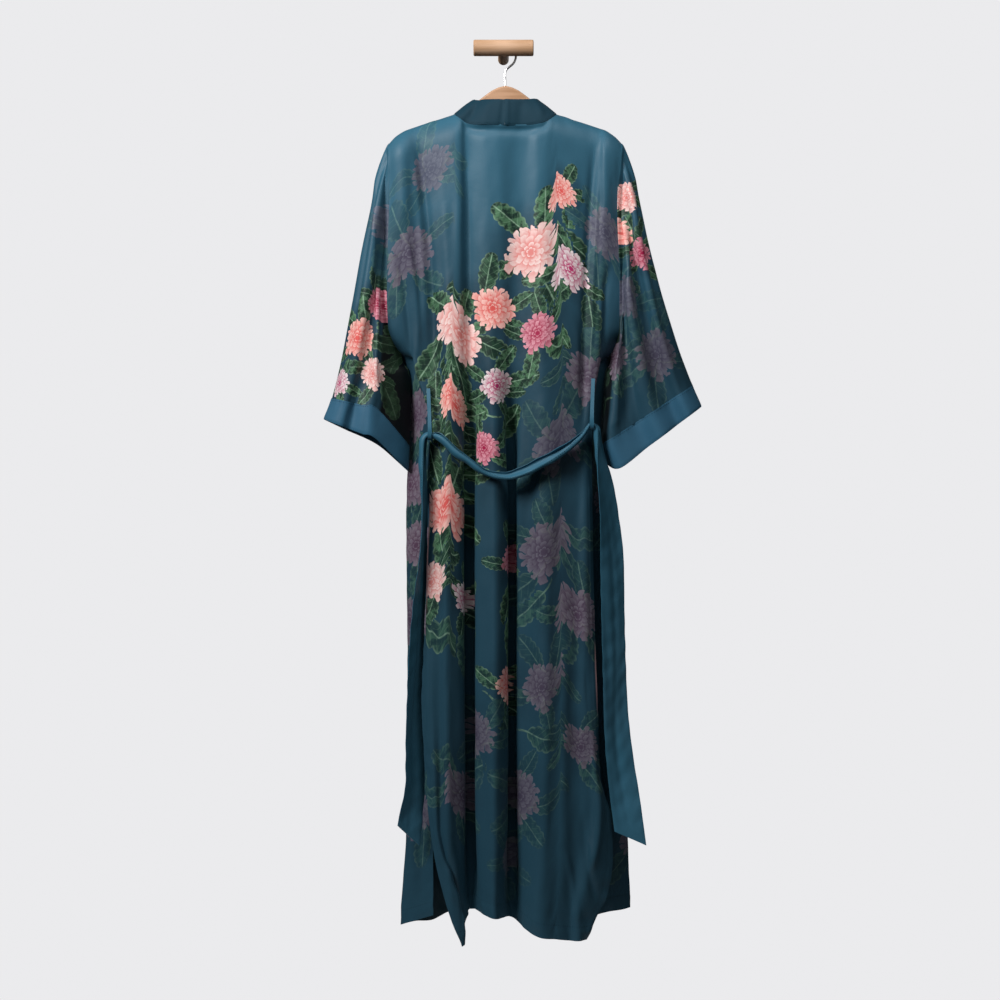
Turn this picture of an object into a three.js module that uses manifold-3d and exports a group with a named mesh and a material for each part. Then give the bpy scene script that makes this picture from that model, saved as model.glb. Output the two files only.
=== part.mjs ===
// A long satin kimono robe on a wooden hanger, hung from a T-shaped wall peg.
// Millimetres. X runs across the robe (wearer's left is -X), Y runs into the wall, Z is up.
// The origin is the centre of the peg stem's flat end, where it meets the wall.
// "Drop" is a depth below the peg's axis, so z = -drop. The robe's back faces -Y.

import * as THREE from 'three';
import { mergeVertices } from 'three/addons/utils/BufferGeometryUtils.js';
import Module from 'manifold-3d';

const wasm = await Module();
wasm.setup();

// ---------------------------------------------------------------- driving sizes

const CLOTH = 2; // wall of a single panel
const BAND = 3; // wall of a folded band: neckband, cuffs, belt
const SEAM = 0.3; // clearance between pieces that are sewn together
const CENTRE_X = 3; // the robe hangs a little to one side of the peg
const HANG_Y = -66; // plane of the hanger, and of the shoulder line
const SHOULDER_ROUND = 45; // drop over which the cloth turns from shoulder line to panel
const NECK_HALF = 82; // half the width of the neck hole
const NECK_DROP = 127; // neck seam at the centre back
const ARMHOLE_TOP = 157;
const UNDERARM = 490;
const SLIT_TOP = 690;
const BAND_WIDTH = 42; // neckband, finished

const STEM = { radius: 8.9 };
const BAR = { radius: 13, length: 97, y: -82, bevel: 1.5 };
const HOOK = {
  wire: 1.75, // radius
  arcRadius: 20.1,
  arcFrom: -60, // degrees, where the bend leaves the kink
  arcTo: 180, // degrees, at the open end
  shankX: 2.5,
  kinkDrop: 33,
  kinkShift: 2.5,
  shankDrop: 48,
  endDrop: 57.6,
};
const HANGER = { thickness: 10, bevel: 3, reach: 173, sections: 34 };

const SATIN = { color: 0x2a5568, roughness: 0.42, metalness: 0 };
const WOOD = { color: 0xd9b38c, roughness: 0.55, metalness: 0 };
const STEEL = { color: 0xc8c8c8, roughness: 0.25, metalness: 1 };

// ---------------------------------------------------------------- numbers and curves

const lerp = (a, b, t) => a + (b - a) * t;

function ease(from, to, value) {
  const t = Math.min(1, Math.max(0, (value - from) / (to - from)));
  return t * t * (3 - 2 * t);
}

// Smooth curve through a short table that never swings past its own values.
function curve(at, values) {
  const n = at.length;
  const slope = [];
  for (let i = 0; i < n - 1; i++) slope.push((values[i + 1] - values[i]) / (at[i + 1] - at[i]));
  const tangent = slope.map((s, i) => {
    if (i === 0) return s;
    return slope[i - 1] * s > 0 ? (2 * slope[i - 1] * s) / (slope[i - 1] + s) : 0;
  });
  tangent.push(slope[n - 2]);
  return (value) => {
    if (value <= at[0]) return values[0];
    if (value >= at[n - 1]) return values[n - 1];
    let i = 0;
    while (value > at[i + 1]) i++;
    const h = at[i + 1] - at[i];
    const t = (value - at[i]) / h;
    const a = (1 + 2 * t) * (1 - t) * (1 - t) * values[i];
    const b = t * t * (3 - 2 * t) * values[i + 1];
    const c = t * (1 - t) * (1 - t) * h * tangent[i];
    const d = t * t * (t - 1) * h * tangent[i + 1];
    return a + b + c + d;
  };
}

// A table whose rows are [position, column, column, ...] as one curve for each named column.
function columns(names, rows) {
  const at = rows.map((row) => row[0]);
  const made = {};
  names.forEach((name, k) => {
    made[name] = curve(at, rows.map((row) => row[k + 1]));
  });
  return made;
}

// Point at parameter u on the rounded curve through a list of vectors (0 is the first of them).
function through(points, u, closed = false) {
  const n = points.length;
  const pick = (i) => {
    if (closed) return points[((i % n) + n) % n];
    if (i < 0) return points[0].clone().multiplyScalar(2).sub(points[1]);
    if (i >= n) return points[n - 1].clone().multiplyScalar(2).sub(points[n - 2]);
    return points[i];
  };
  const i = Math.min(Math.floor(u), closed ? n - 1 : n - 2);
  const t = u - i;
  const [a, b, c, d] = [pick(i - 1), pick(i), pick(i + 1), pick(i + 2)];
  const out = b.clone().multiplyScalar(2);
  out.addScaledVector(c.clone().sub(a), t);
  out.addScaledVector(a.clone().multiplyScalar(2).addScaledVector(b, -5).addScaledVector(c, 4).sub(d), t * t);
  out.addScaledVector(b.clone().multiplyScalar(3).sub(a).addScaledVector(c, -3).add(d), t * t * t);
  return out.multiplyScalar(0.5);
}

// ---------------------------------------------------------------- cloth walls

// Unit normals of a grid of points, grid[row][column]; a closed grid joins its last column to the first.
function gridNormals(grid, closed) {
  const rows = grid.length;
  const cols = grid[0].length;
  return grid.map((row, i) =>
    row.map((point, j) => {
      const up = grid[Math.max(i - 1, 0)][j];
      const down = grid[Math.min(i + 1, rows - 1)][j];
      const left = closed ? row[(j + cols - 1) % cols] : row[Math.max(j - 1, 0)];
      const right = closed ? row[(j + 1) % cols] : row[Math.min(j + 1, cols - 1)];
      const across = right.clone().sub(left);
      return across.cross(down.clone().sub(up)).normalize();
    }),
  );
}

// Closed solid of a wall: the grid is its middle, moved out and in along the normals by half the thickness.
function wall(grid, normals, thickness, closed = false) {
  const rows = grid.length;
  const cols = grid[0].length;
  const outer = [];
  const inner = [];
  grid.forEach((row, i) =>
    row.forEach((point, j) => {
      outer.push(point.clone().addScaledVector(normals[i][j], thickness / 2));
      inner.push(point.clone().addScaledVector(normals[i][j], -thickness / 2));
    }),
  );
  const points = outer.concat(inner);
  const inside = rows * cols;
  const index = [];
  const quad = (a, b, c, d) => {
    if (points[a].distanceTo(points[c]) < points[b].distanceTo(points[d])) index.push(a, b, c, a, c, d);
    else index.push(a, b, d, b, c, d);
  };
  const spans = closed ? cols : cols - 1;
  for (let i = 0; i < rows - 1; i++) {
    for (let j = 0; j < spans; j++) {
      const a = i * cols + j;
      const b = i * cols + ((j + 1) % cols);
      const c = b + cols;
      const d = a + cols;
      quad(a, d, c, b);
      quad(inside + a, inside + b, inside + c, inside + d);
    }
  }
  const rim = (a, b) => quad(a, b, inside + b, inside + a);
  for (let j = 0; j < spans; j++) {
    const next = (j + 1) % cols;
    rim(j, next);
    rim((rows - 1) * cols + next, (rows - 1) * cols + j);
  }
  if (!closed) {
    for (let i = 0; i < rows - 1; i++) {
      rim((i + 1) * cols, i * cols);
      rim(i * cols + cols - 1, (i + 1) * cols + cols - 1);
    }
  }
  // The grid's normals may face the body or away from it; the faces are turned to match.
  let volume = 0;
  for (let k = 0; k < index.length; k += 3) {
    volume += points[index[k]].dot(points[index[k + 1]].clone().cross(points[index[k + 2]]));
  }
  if (volume < 0) index.reverse();
  const geometry = new THREE.BufferGeometry();
  geometry.setAttribute('position', new THREE.Float32BufferAttribute(points.flatMap((p) => p.toArray()), 3));
  geometry.setIndex(index);
  geometry.computeVertexNormals();
  return geometry;
}

// A row of points moved half a seam's clearance towards its neighbour.
function nudged(row, neighbour) {
  return row.map((point, j) => point.clone().addScaledVector(neighbour[j].clone().sub(point).normalize(), SEAM / 2));
}

// A grid in parts, one above the other, with a seam's clearance at each row where it is parted.
function parted(grid, normals, rowsOfCuts) {
  const ends = [...rowsOfCuts, grid.length - 1];
  return ends.map((end, k) => {
    const start = k === 0 ? 0 : ends[k - 1];
    const rows = grid.slice(start, end + 1);
    if (k > 0) rows[0] = nudged(grid[start], grid[start + 1]);
    if (end < grid.length - 1) rows[end - start] = nudged(grid[end], grid[end - 1]);
    return { grid: rows, normals: normals.slice(start, end + 1) };
  });
}

const robe = new THREE.Group();
robe.name = 'kimono_robe_on_hanger';

function add(name, geometry, look) {
  const mesh = new THREE.Mesh(geometry, new THREE.MeshStandardMaterial(look));
  mesh.name = name;
  robe.add(mesh);
}

// ---------------------------------------------------------------- shoulder line, neck and hem

// Drop of the shoulder line at a distance from the robe's centre.
const shoulderLine = curve(
  [0, 82, 106, 137, 163, 178, 188, 194],
  [78, 105, 113, 122.8, 132.6, 142.5, 153, 163],
);
const shoulderDrop = (x) => shoulderLine(Math.abs(x - CENTRE_X));

const NECK_SQUARENESS = 5; // power of the neck hole's curve
const NECK_SLACK = 0.5; // the neck seam's end still counts as the shoulder line

function neckDrop(x) {
  const share = Math.abs(x - CENTRE_X) / NECK_HALF;
  return share < 1 ? lerp(NECK_DROP, shoulderLine(NECK_HALF), share ** NECK_SQUARENESS) : 0;
}

// How far the cloth has turned from the shoulder line (0) to its hanging depth (1).
function turned(x, drop) {
  const share = Math.min(1, Math.max(0, (drop - shoulderDrop(x)) / SHOULDER_ROUND));
  return Math.sqrt(1 - (1 - share) ** 2);
}

// ---------------------------------------------------------------- folds of the body

// Heights at which the fold tables give their places, as drops.
const CHEST = 250;
const WAIST = 635;
const THIGH = 1000;
const KNEE = 1250;
const HEM = 1400;
const STATIONS = [CHEST, UNDERARM, WAIST, THIGH, KNEE, HEM];

// One long fold line of a panel: its place across (x) and its depth (y) at each station.
const fold = (x, y) => ({ x: curve(STATIONS, x), y: curve(STATIONS, y) });

// A panel's free or sewn edge has its own heights: rows of drop, x, y.
const edge = (rows) => columns(['x', 'y'], rows);

const BACK_EDGE_LEFT = edge([
  [157, -184, -90],
  [218, -184, -85],
  [394, -188, -86],
  [450, -186, -83.5],
  [472, -179, -78.5],
  [490, -168, -66],
  [503, -140, -72],
  [546, -127.5, -87],
  [634, -118, -96],
  [730, -118, -98],
  [826, -122.5, -101],
  [954, -124, -103],
  [1210, -121, -104],
  [1298, -111, -106],
  [1370, -94, -110],
  [1410, -81, -112],
  [1444, -67, -114],
]);

const BACK_EDGE_RIGHT = edge([
  [157, 190, -90],
  [250, 183, -85],
  [394, 187, -84],
  [450, 187, -80],
  [490, 176, -66],
  [506, 156, -74],
  [546, 148, -87],
  [618, 141.5, -96],
  [730, 141.5, -98],
  [890, 144.7, -100],
  [1050, 149.5, -101],
  [1178, 155, -100],
  [1242, 172, -98],
  [1306, 175, -94],
  [1368, 165.5, -92],
  [1396, 151, -94],
  [1436, 133.5, -98],
]);

// Fold lines between the back's two edges, from left to right; pitch is the number of steps to the next one.
const BACK_FOLDS = [
  { name: 'left edge', line: BACK_EDGE_LEFT, pitch: 2, hem: 1444 },
  {
    name: 'shoulder roll, left',
    line: fold([-161, -147, -108, -115, -108, -63], [-97, -90, -101, -108, -113, -106]),
    pitch: 2,
    hem: 1440,
  },
  {
    name: 'armhole crease, left',
    line: fold([-134, -114, -98, -103, -100, -66], [-87, -89, -103, -110, -108, -92]),
    pitch: 3,
    hem: 1424,
  },
  {
    name: 'left ridge',
    line: fold([-79, -83, -85, -87, -86, -59], [-100, -108, -112, -116, -114, -80]),
    pitch: 3,
    hem: 1402,
  },
  {
    name: 'left valley',
    line: fold([-58, -55, -52, -51, -51, -50], [-93, -92, -82, -72, -70, -70]),
    pitch: 3,
    hem: 1392,
  },
  {
    name: 'centre ridge',
    line: fold([-23, -20, -16, -15, -15, -15], [-102, -108, -114, -119, -120, -120]),
    pitch: 4,
    hem: 1398,
  },
  {
    name: 'centre valley',
    line: fold([29, 14, 10, 11, 12, 13], [-98, -96, -82, -72, -70, -70]),
    pitch: 3,
    hem: 1406,
  },
  {
    name: 'right ridge',
    line: fold([57, 60, 58, 62, 60, 52], [-103, -110, -115, -119, -120, -120]),
    pitch: 2,
    hem: 1426,
  },
  {
    name: 'right flat',
    line: fold([85, 95, 92, 92, 90, 84], [-101, -107, -111, -112, -113, -113]),
    pitch: 3,
    hem: 1432,
  },
  {
    name: 'armhole crease, right',
    line: fold([146, 137, 119, 116, 120, 106], [-88, -92, -104, -106, -104, -104]),
    pitch: 2,
    hem: 1436,
  },
  {
    name: 'hip roll, right',
    line: fold([165, 155, 131, 131, 150, 121], [-96, -90, -102, -111, -112, -108]),
    pitch: 2,
    hem: 1436,
  },
  { name: 'right edge', line: BACK_EDGE_RIGHT, pitch: 0, hem: 1436 },
];

// Depth of the front's edge round the armhole, down to the underarm point that it shares with the back.
const FRONT_ARMHOLE_Y = curve([ARMHOLE_TOP, CHEST, 394, 450, UNDERARM], [-42, -44, -46, -51, HANG_Y]);

const PARTING_END = SLIT_TOP + 70; // drop at which the front has tucked in behind the back
const RIGHT_SHIFT = 20; // the right front's edge hangs further out than the left one's

// The front's side edge follows the back's from underarm to slit, then tucks in behind it.
function frontSideEdge(backEdge, side) {
  const free = edge([
    [SLIT_TOP, 118, -98],
    [PARTING_END, 117, -86],
    [880, 115, -80],
    [HEM, 113, -74],
  ]);
  return {
    x: (drop) => {
      const apart = ease(SLIT_TOP, PARTING_END, drop);
      const tucked = side < 0 ? -free.x(drop) : free.x(drop) + RIGHT_SHIFT;
      return lerp(backEdge.x(drop), tucked, apart);
    },
    y: (drop) => {
      if (drop < UNDERARM) return FRONT_ARMHOLE_Y(drop);
      return lerp(backEdge.y(drop), free.y(drop), ease(SLIT_TOP, PARTING_END, drop));
    },
  };
}

// Edge of the front panel where the neckband is sewn on; side is -1 for the wearer's left.
function frontCentreEdge(side) {
  const half = edge([
    [105, 82, -42],
    [160, 79, -40],
    [CHEST, 74, -37],
    [390, 65, -33],
    [UNDERARM, 61, -31],
    [760, 59, -28],
    [HEM, 60, -27],
  ]);
  return { x: (drop) => CENTRE_X + side * half.x(drop), y: half.y };
}

const FRONT_LEFT_FOLDS = [
  { name: 'side edge', line: frontSideEdge(BACK_EDGE_LEFT, -1), pitch: 2, hem: 1402 },
  {
    name: 'side fold',
    line: edge([
      [CHEST, -165, -42],
      [440, -170, -42],
      [UNDERARM, -172, -40],
      [504, -172, -38],
      [520, -166, -38],
      [WAIST, -153, -38],
      [SLIT_TOP, -156, -42],
      [780, -158, -46],
      [THIGH, -155, -48],
      [KNEE, -156, -50],
      [HEM, -166, -48],
    ]),
    pitch: 2,
    hem: 1423,
  },
  {
    name: 'wall ridge',
    line: fold([-140, -138, -127, -138, -140, -144], [-33, -28, -22, -20, -19, -18]),
    pitch: 2,
    hem: 1424,
  },
  {
    name: 'inner valley',
    line: fold([-119, -116, -107, -114, -115, -116], [-38, -38, -40, -44, -45, -45]),
    pitch: 2,
    hem: 1416,
  },
  {
    name: 'front ridge',
    line: fold([-96, -90, -84, -87, -87, -87], [-32, -26, -20, -18, -17, -17]),
    pitch: 2,
    hem: 1408,
  },
  { name: 'centre edge', line: frontCentreEdge(-1), pitch: 0, hem: 1402 },
];

const FRONT_RIGHT_FOLDS = [
  { name: 'side edge', line: frontSideEdge(BACK_EDGE_RIGHT, 1), pitch: 2, hem: 1404 },
  {
    name: 'side fold',
    line: edge([
      [CHEST, 170, -42],
      [440, 175, -42],
      [UNDERARM, 174, -40],
      [504, 179, -38],
      [520, 175, -38],
      [WAIST, 164, -38],
      [SLIT_TOP, 165, -42],
      [780, 171, -46],
      [THIGH, 176, -48],
      [KNEE, 200, -50],
      [HEM, 206, -48],
    ]),
    pitch: 2,
    hem: 1395,
  },
  {
    name: 'wall ridge',
    line: fold([147, 144, 136, 150, 165, 170], [-33, -28, -22, -20, -19, -18]),
    pitch: 2,
    hem: 1403,
  },
  {
    name: 'inner valley',
    line: fold([125, 122, 114, 124, 132, 136], [-38, -38, -41, -45, -46, -46]),
    pitch: 2,
    hem: 1410,
  },
  {
    name: 'front ridge',
    line: fold([102, 96, 90, 95, 99, 101], [-32, -26, -20, -18, -17, -17]),
    pitch: 2,
    hem: 1412,
  },
  { name: 'centre edge', line: frontCentreEdge(1), pitch: 0, hem: 1406 },
];

// ---------------------------------------------------------------- body panels

const TURN_ROWS = 5; // rows over the shoulder, closest together at the top
const TURN_CROWDING = 2.4;
const TURN_END = 200;
const LEVEL_TOP = 140; // drop of the shoulder line where a row over the shoulder runs level
const LEAN = 0.8; // share of the shoulder's slope that the next rows keep
const LEAN_END = 455;
const HEM_LEAN_START = 900; // below this the rows turn to follow the hem
const LEVELS = [245, 290, 335, 380, 420, 455, 475, 490, 504, 524, 548, 580, 625, SLIT_TOP, 735, 790, 850, 910,
  970, 1030, 1090, 1150, 1205, 1255, 1300, 1340, 1372, HEM];
const PARTED_UPPER = 524; // levels at which the panels are parted
const PARTED_LOWER = 910;
const UNDERARM_ROW = TURN_ROWS + 1 + LEVELS.indexOf(UNDERARM);
const SLIT_ROW = TURN_ROWS + 1 + LEVELS.indexOf(SLIT_TOP);
const ROWS = TURN_ROWS + 1 + LEVELS.length;

function foldAcross(folds, u, drop) {
  const points = folds.map((f) => new THREE.Vector3(f.line.x(drop), f.line.y(drop), f.hem));
  return through(points, u);
}

function panel(folds, faces) {
  const params = [];
  folds.forEach((f, k) => {
    for (let i = 0; i < f.pitch; i++) params.push(k + i / f.pitch);
  });
  params.push(folds.length - 1);
  const grid = [];
  for (let i = 0; i < ROWS; i++) {
    grid.push(
      params.map((u) => {
        const top = topOf(folds, u, faces);
        const hem = foldAcross(folds, u, HEM).z;
        const drop = rowDrop(i, top, hem);
        const spot = foldAcross(folds, u, drop);
        const depth = i === 0 && top.onShoulder ? faces * (SEAM / 2) : turned(spot.x, drop) * (spot.y - HANG_Y);
        return new THREE.Vector3(spot.x, HANG_Y + depth, -drop);
      }),
    );
  }
  return grid;
}

// Where a column of a panel starts: on the shoulder line or, for the back, on the neck seam.
function topOf(folds, u, faces) {
  let drop = shoulderLine(NECK_HALF);
  let onShoulder = true;
  for (let pass = 0; pass < 4; pass++) {
    const x = foldAcross(folds, u, drop).x;
    const neck = faces < 0 ? neckDrop(x) : 0;
    drop = Math.max(shoulderDrop(x), neck);
    onShoulder = shoulderDrop(x) >= neck - NECK_SLACK;
  }
  return { drop, onShoulder };
}

function rowDrop(i, top, hem) {
  const lean = (top.drop - LEVEL_TOP) * LEAN;
  if (i <= TURN_ROWS) return lerp(top.drop, TURN_END + lean, (i / TURN_ROWS) ** TURN_CROWDING);
  const level = LEVELS[i - TURN_ROWS - 1];
  const hemLean = (hem - HEM) * ease(HEM_LEAN_START, HEM, level);
  return level + lean * (1 - ease(TURN_END, LEAN_END, level)) + hemLean;
}

const backGrid = panel(BACK_FOLDS, -1);
const frontGrids = { left: panel(FRONT_LEFT_FOLDS, 1), right: panel(FRONT_RIGHT_FOLDS, 1) };

// Normals of the three panels, made to agree where two are sewn together, so that their edges face squarely.
const backNormals = gridNormals(backGrid, false);
const frontNormals = {
  left: gridNormals(frontGrids.left, false).map((row) => row.map((n) => n.negate())),
  right: gridNormals(frontGrids.right, false),
};
const LAST_BACK = backGrid[0].length - 1;
const LAST_FRONT = frontGrids.left[0].length - 1;
const NECK_COLUMNS = { left: columnOf(BACK_FOLDS, 'left ridge'), right: columnOf(BACK_FOLDS, 'right flat') };
const CENTRE_COLUMN = columnOf(BACK_FOLDS, 'centre ridge') + 2;

function columnOf(folds, name) {
  let column = 0;
  for (const f of folds) {
    if (f.name === name) break;
    column += f.pitch;
  }
  return column;
}

function squareUp() {
  for (const side of ['left', 'right']) {
    const edgeColumn = side === 'left' ? 0 : LAST_BACK;
    for (let i = 0; i <= SLIT_ROW; i++) {
      const back = backNormals[i][edgeColumn];
      const front = frontNormals[side][i][0];
      if (i < UNDERARM_ROW) {
        back.setX(0).normalize();
        front.setX(0).normalize();
      } else {
        back.add(front).normalize();
        front.copy(back);
      }
    }
    frontNormals[side][0].forEach((n) => n.setY(0).normalize());
    frontNormals[side][0][0].set(0, 0, -1);
  }
  backNormals[0].forEach((n, j) => {
    const inNeck = j > NECK_COLUMNS.left && j < NECK_COLUMNS.right;
    if (!inNeck) n.setY(0).normalize();
  });
  backNormals[0][0].set(0, 0, -1);
  backNormals[0][LAST_BACK].set(0, 0, -1);
}

// Front and back normals point away from the body; a front's side edge turns through the seam.
squareUp();

// The fronts stop a seam's clearance short of the back along the side seams.
for (const front of Object.values(frontGrids)) {
  for (let i = UNDERARM_ROW; i <= SLIT_ROW; i++) {
    const along = front[i][1].clone().sub(front[i][0]).normalize();
    front[i][0].addScaledVector(along, SEAM);
  }
}

// Each panel is one piece of cloth, in three solids one above the other.
const LEVEL_NAMES = ['upper', 'middle', 'lower'];
const PANEL_CUTS = [PARTED_UPPER, PARTED_LOWER].map((level) => TURN_ROWS + 1 + LEVELS.indexOf(level));

function addPanel(name, grid, normals) {
  parted(grid, normals, PANEL_CUTS).forEach((part, k) => {
    add(`${name}_${LEVEL_NAMES[k]}`, wall(part.grid, part.normals, CLOTH), SATIN);
  });
}

addPanel('back_panel', backGrid, backNormals);
addPanel('front_left', frontGrids.left, frontNormals.left);
addPanel('front_right', frontGrids.right, frontNormals.right);

// ---------------------------------------------------------------- sleeves and their bands

// A sleeve runs from the armhole (0) to its band's seam (1) and on to the open end. At each place it has
// a top fold, a fold at the back's lower edge, a base where the cloth turns under, and a line down which the
// front layer hangs from the armhole. Back and front are the depths of the two layers.
const SLEEVE_COLUMNS = [
  'topX', 'topDrop', 'foldX', 'foldDrop', 'baseX', 'baseDrop', 'baseY', 'hangX', 'hangDrop', 'back', 'front',
];
const SLEEVE_END = 1.12;

const SLEEVES = {
  left: {
    side: -1,
    path: columns(SLEEVE_COLUMNS, [
      [0, -184, 157, -190, 420, -168, 490, -66, -186, 440, 20, 20],
      [0.08, -200, 190, -199, 500, -166, 504, -64, -193, 478, 30, 24],
      [0.25, -212, 244, -199, 520, -155, 519, -62, -195, 494, 36, 28],
      [0.5, -231, 342, -198, 541, -151, 548, -62, -194, 515, 39, 31],
      [0.75, -249, 438, -197, 562, -152, 592, -62, -196, 541, 40, 32],
      [1, -277, 566, -203, 583, -154, 642, -62, -200, 597, 41, 33],
      [SLEEVE_END, -290, 600, -205, 632, -156, 683, -62, -206, 640, 42, 34],
    ]),
    // Long folds between the top and the lower fold: share of the way, share of the depth.
    folds: [[0.14, 0.72], [0.34, 1], [0.52, 0.8], [0.76, 1.04]],
  },
  right: {
    side: 1,
    path: columns(SLEEVE_COLUMNS, [
      [0, 190, 157, 187, 420, 176, 490, -66, 188, 440, 20, 20],
      [0.08, 206, 190, 186, 500, 175, 505, -64, 195, 478, 30, 24],
      [0.25, 219, 244, 179, 517, 166, 523, -62, 196, 498, 36, 28],
      [0.5, 242, 346, 176, 548, 164.5, 555, -62, 194, 520, 39, 31],
      [0.75, 268, 440, 174, 585, 163, 595, -62, 193, 556, 40, 32],
      [1, 305, 545, 170, 633, 161, 640, -62, 196, 612, 41, 33],
      [SLEEVE_END, 320, 579, 187, 679, 171, 670, -62, 214, 652, 42, 34],
    ]),
    folds: [[0.15, 0.78], [0.3, 0.55], [0.5, 1], [0.68, 0.66]],
  },
};

const BACK_STEPS = 14; // ring steps from top fold to lower fold
const BASE_STEPS = 3; // and on to the base, one for each of the panels' last rows above the underarm
const FRONT_STEPS = 8; // and from the hanging line back up the front layer
const SLEEVE_PLACES = [0, 0.03, 0.08, 0.15, 0.25, 0.37, 0.5, 0.63, 0.76, 0.88, 1];
const CUFF_PLACES = [1.06, SLEEVE_END];
const SLEEVE_PARTED = 0.5; // place at which a sleeve, one piece of cloth, is parted into two solids
const SLEEVE_SWELL = 2.5; // the cloth swells out from the armhole seam before it hangs
const FREE_PLACE = 0.16; // place from which a sleeve has left the armhole's shape
const RING_CROWDING = 1.3; // ring points lie closer together near the top fold
const FRONT_HIGH = { share: 0.62, depth: 0.8 }; // front layer, between the hanging line and the top fold
const LOW_ARMHOLE = 0.9; // share of the armhole below which the sleeve drops clear of the side seam

// How far down the armhole each of the panels' rows lies, from 0 at the shoulder to 1 at the underarm.
const ARMHOLE_ROWS = backGrid.map((row) => (backGrid[0][0].z - row[0].z) / (backGrid[0][0].z + UNDERARM));

// Each ring point: its share down the armhole, and its place on the ring's own anchors.
function ringPlan(foldShares) {
  const anchorAt = curve([0, ...foldShares, 1], [...foldShares.keys(), foldShares.length, foldShares.length + 1]);
  const foldAnchor = foldShares.length + 1;
  const lowest = ARMHOLE_ROWS.slice(UNDERARM_ROW - BASE_STEPS, UNDERARM_ROW + 1);
  const plan = [];
  for (let m = 0; m < BACK_STEPS; m++) {
    const share = (m / BACK_STEPS) ** RING_CROWDING;
    plan.push({ down: lowest[0] * share, anchor: anchorAt(share), front: false });
  }
  for (let m = 0; m < BASE_STEPS; m++) {
    plan.push({ down: lowest[m], anchor: foldAnchor + m / BASE_STEPS, front: false });
  }
  for (let m = 0; m < BASE_STEPS; m++) {
    plan.push({ down: lowest[BASE_STEPS - m], anchor: foldAnchor + 1 + m / BASE_STEPS, front: true });
  }
  for (let m = 0; m < FRONT_STEPS; m++) {
    const share = 1 - (1 - m / FRONT_STEPS) ** RING_CROWDING;
    plan.push({ down: lowest[0] * (1 - share), anchor: foldAnchor + 2 + 2 * share, front: true });
  }
  return plan;
}

// Point on the body's own armhole edge, moved clear of it; low down it also drops clear of the side seam.
function armholePoint(name, side, step) {
  const column = side < 0 ? 0 : LAST_BACK;
  const rim = step.front ? frontGrids[name].map((row) => row[0]) : backGrid.map((row) => row[column]);
  const z = lerp(rim[0].z, rim[UNDERARM_ROW].z, step.down);
  let i = 0;
  while (i < UNDERARM_ROW - 1 && rim[i + 1].z > z) i++;
  const point = rim[i].clone().lerp(rim[i + 1], (rim[i].z - z) / (rim[i].z - rim[i + 1].z));
  const low = ease(LOW_ARMHOLE, 1, step.down);
  point.x += side * (SEAM + (CLOTH / 2) * low);
  point.z -= (2 * SEAM + CLOTH / 2) * low;
  return point;
}

function sleeveAnchors(sleeve, place) {
  const p = Object.fromEntries(SLEEVE_COLUMNS.map((name) => [name, sleeve.path[name](place)]));
  const top = new THREE.Vector3(p.topX, HANG_Y, -p.topDrop);
  const lower = new THREE.Vector3(p.foldX, HANG_Y - p.back, -p.foldDrop);
  const base = new THREE.Vector3(p.baseX, p.baseY, -p.baseDrop);
  const between = (share, y) => top.clone().lerp(lower, share).setY(y);
  const long = sleeve.folds.map(([share, depth]) => between(share, HANG_Y - p.back * depth));
  const frontLow = new THREE.Vector3(p.hangX, HANG_Y + p.front, -p.hangDrop);
  const frontHigh = frontLow.clone().lerp(top, FRONT_HIGH.share).setY(HANG_Y + FRONT_HIGH.depth * p.front);
  return [top, ...long, lower, base, frontLow, frontHigh];
}

function sleeveRing(name, sleeve, plan, place) {
  const anchors = sleeveAnchors(sleeve, place);
  const free = ease(0, FREE_PLACE, place);
  const swell = SLEEVE_SWELL * ease(0, 0.05, place) * (1 - ease(0.1, 0.3, place));
  return plan.map((step) => {
    const own = through(anchors, step.anchor, true);
    const point = armholePoint(name, sleeve.side, step).lerp(own, free);
    point.x += sleeve.side * swell * (1 - ease(0.96, 1, step.down));
    return point;
  });
}

for (const [name, sleeve] of Object.entries(SLEEVES)) {
  const plan = ringPlan(sleeve.folds.map(([share]) => share));
  const rings = [...SLEEVE_PLACES, ...CUFF_PLACES].map((place) => sleeveRing(name, sleeve, plan, place));
  const normals = gridNormals(rings, true);
  normals[0].forEach((n) => n.setX(0).normalize());
  const cuts = [SLEEVE_PLACES.indexOf(SLEEVE_PARTED), SLEEVE_PLACES.length - 1];
  const [upper, lower, cuff] = parted(rings, normals, cuts);
  add(`sleeve_${name}_upper`, wall(upper.grid, upper.normals, CLOTH, true), SATIN);
  add(`sleeve_${name}_lower`, wall(lower.grid, lower.normals, CLOTH, true), SATIN);
  add('cuff_' + name, wall(cuff.grid, cuff.normals, BAND, true), SATIN);
}

// ---------------------------------------------------------------- neckband

const BAND_STAND = 84; // drop of the band's top edge at the centre back
const BAND_DEPTH = 28; // how far the band's top edge stands off the hanger's plane at the centre back
const BAND_TAPER = 0.61; // share of the neck's half width that the band's top edge spans
const BAND_END_DROP = 2; // and how much lower it lies at the shoulder
const BAND_SHOULDER = [32, -23]; // across and up, from the neck seam to the free edge on the shoulder line
const BAND_TURN = [105, 195]; // drops between which the band turns from the shoulder to the front
const BAND_GAP = 0.9; // along the neck seam, which bends

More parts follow.
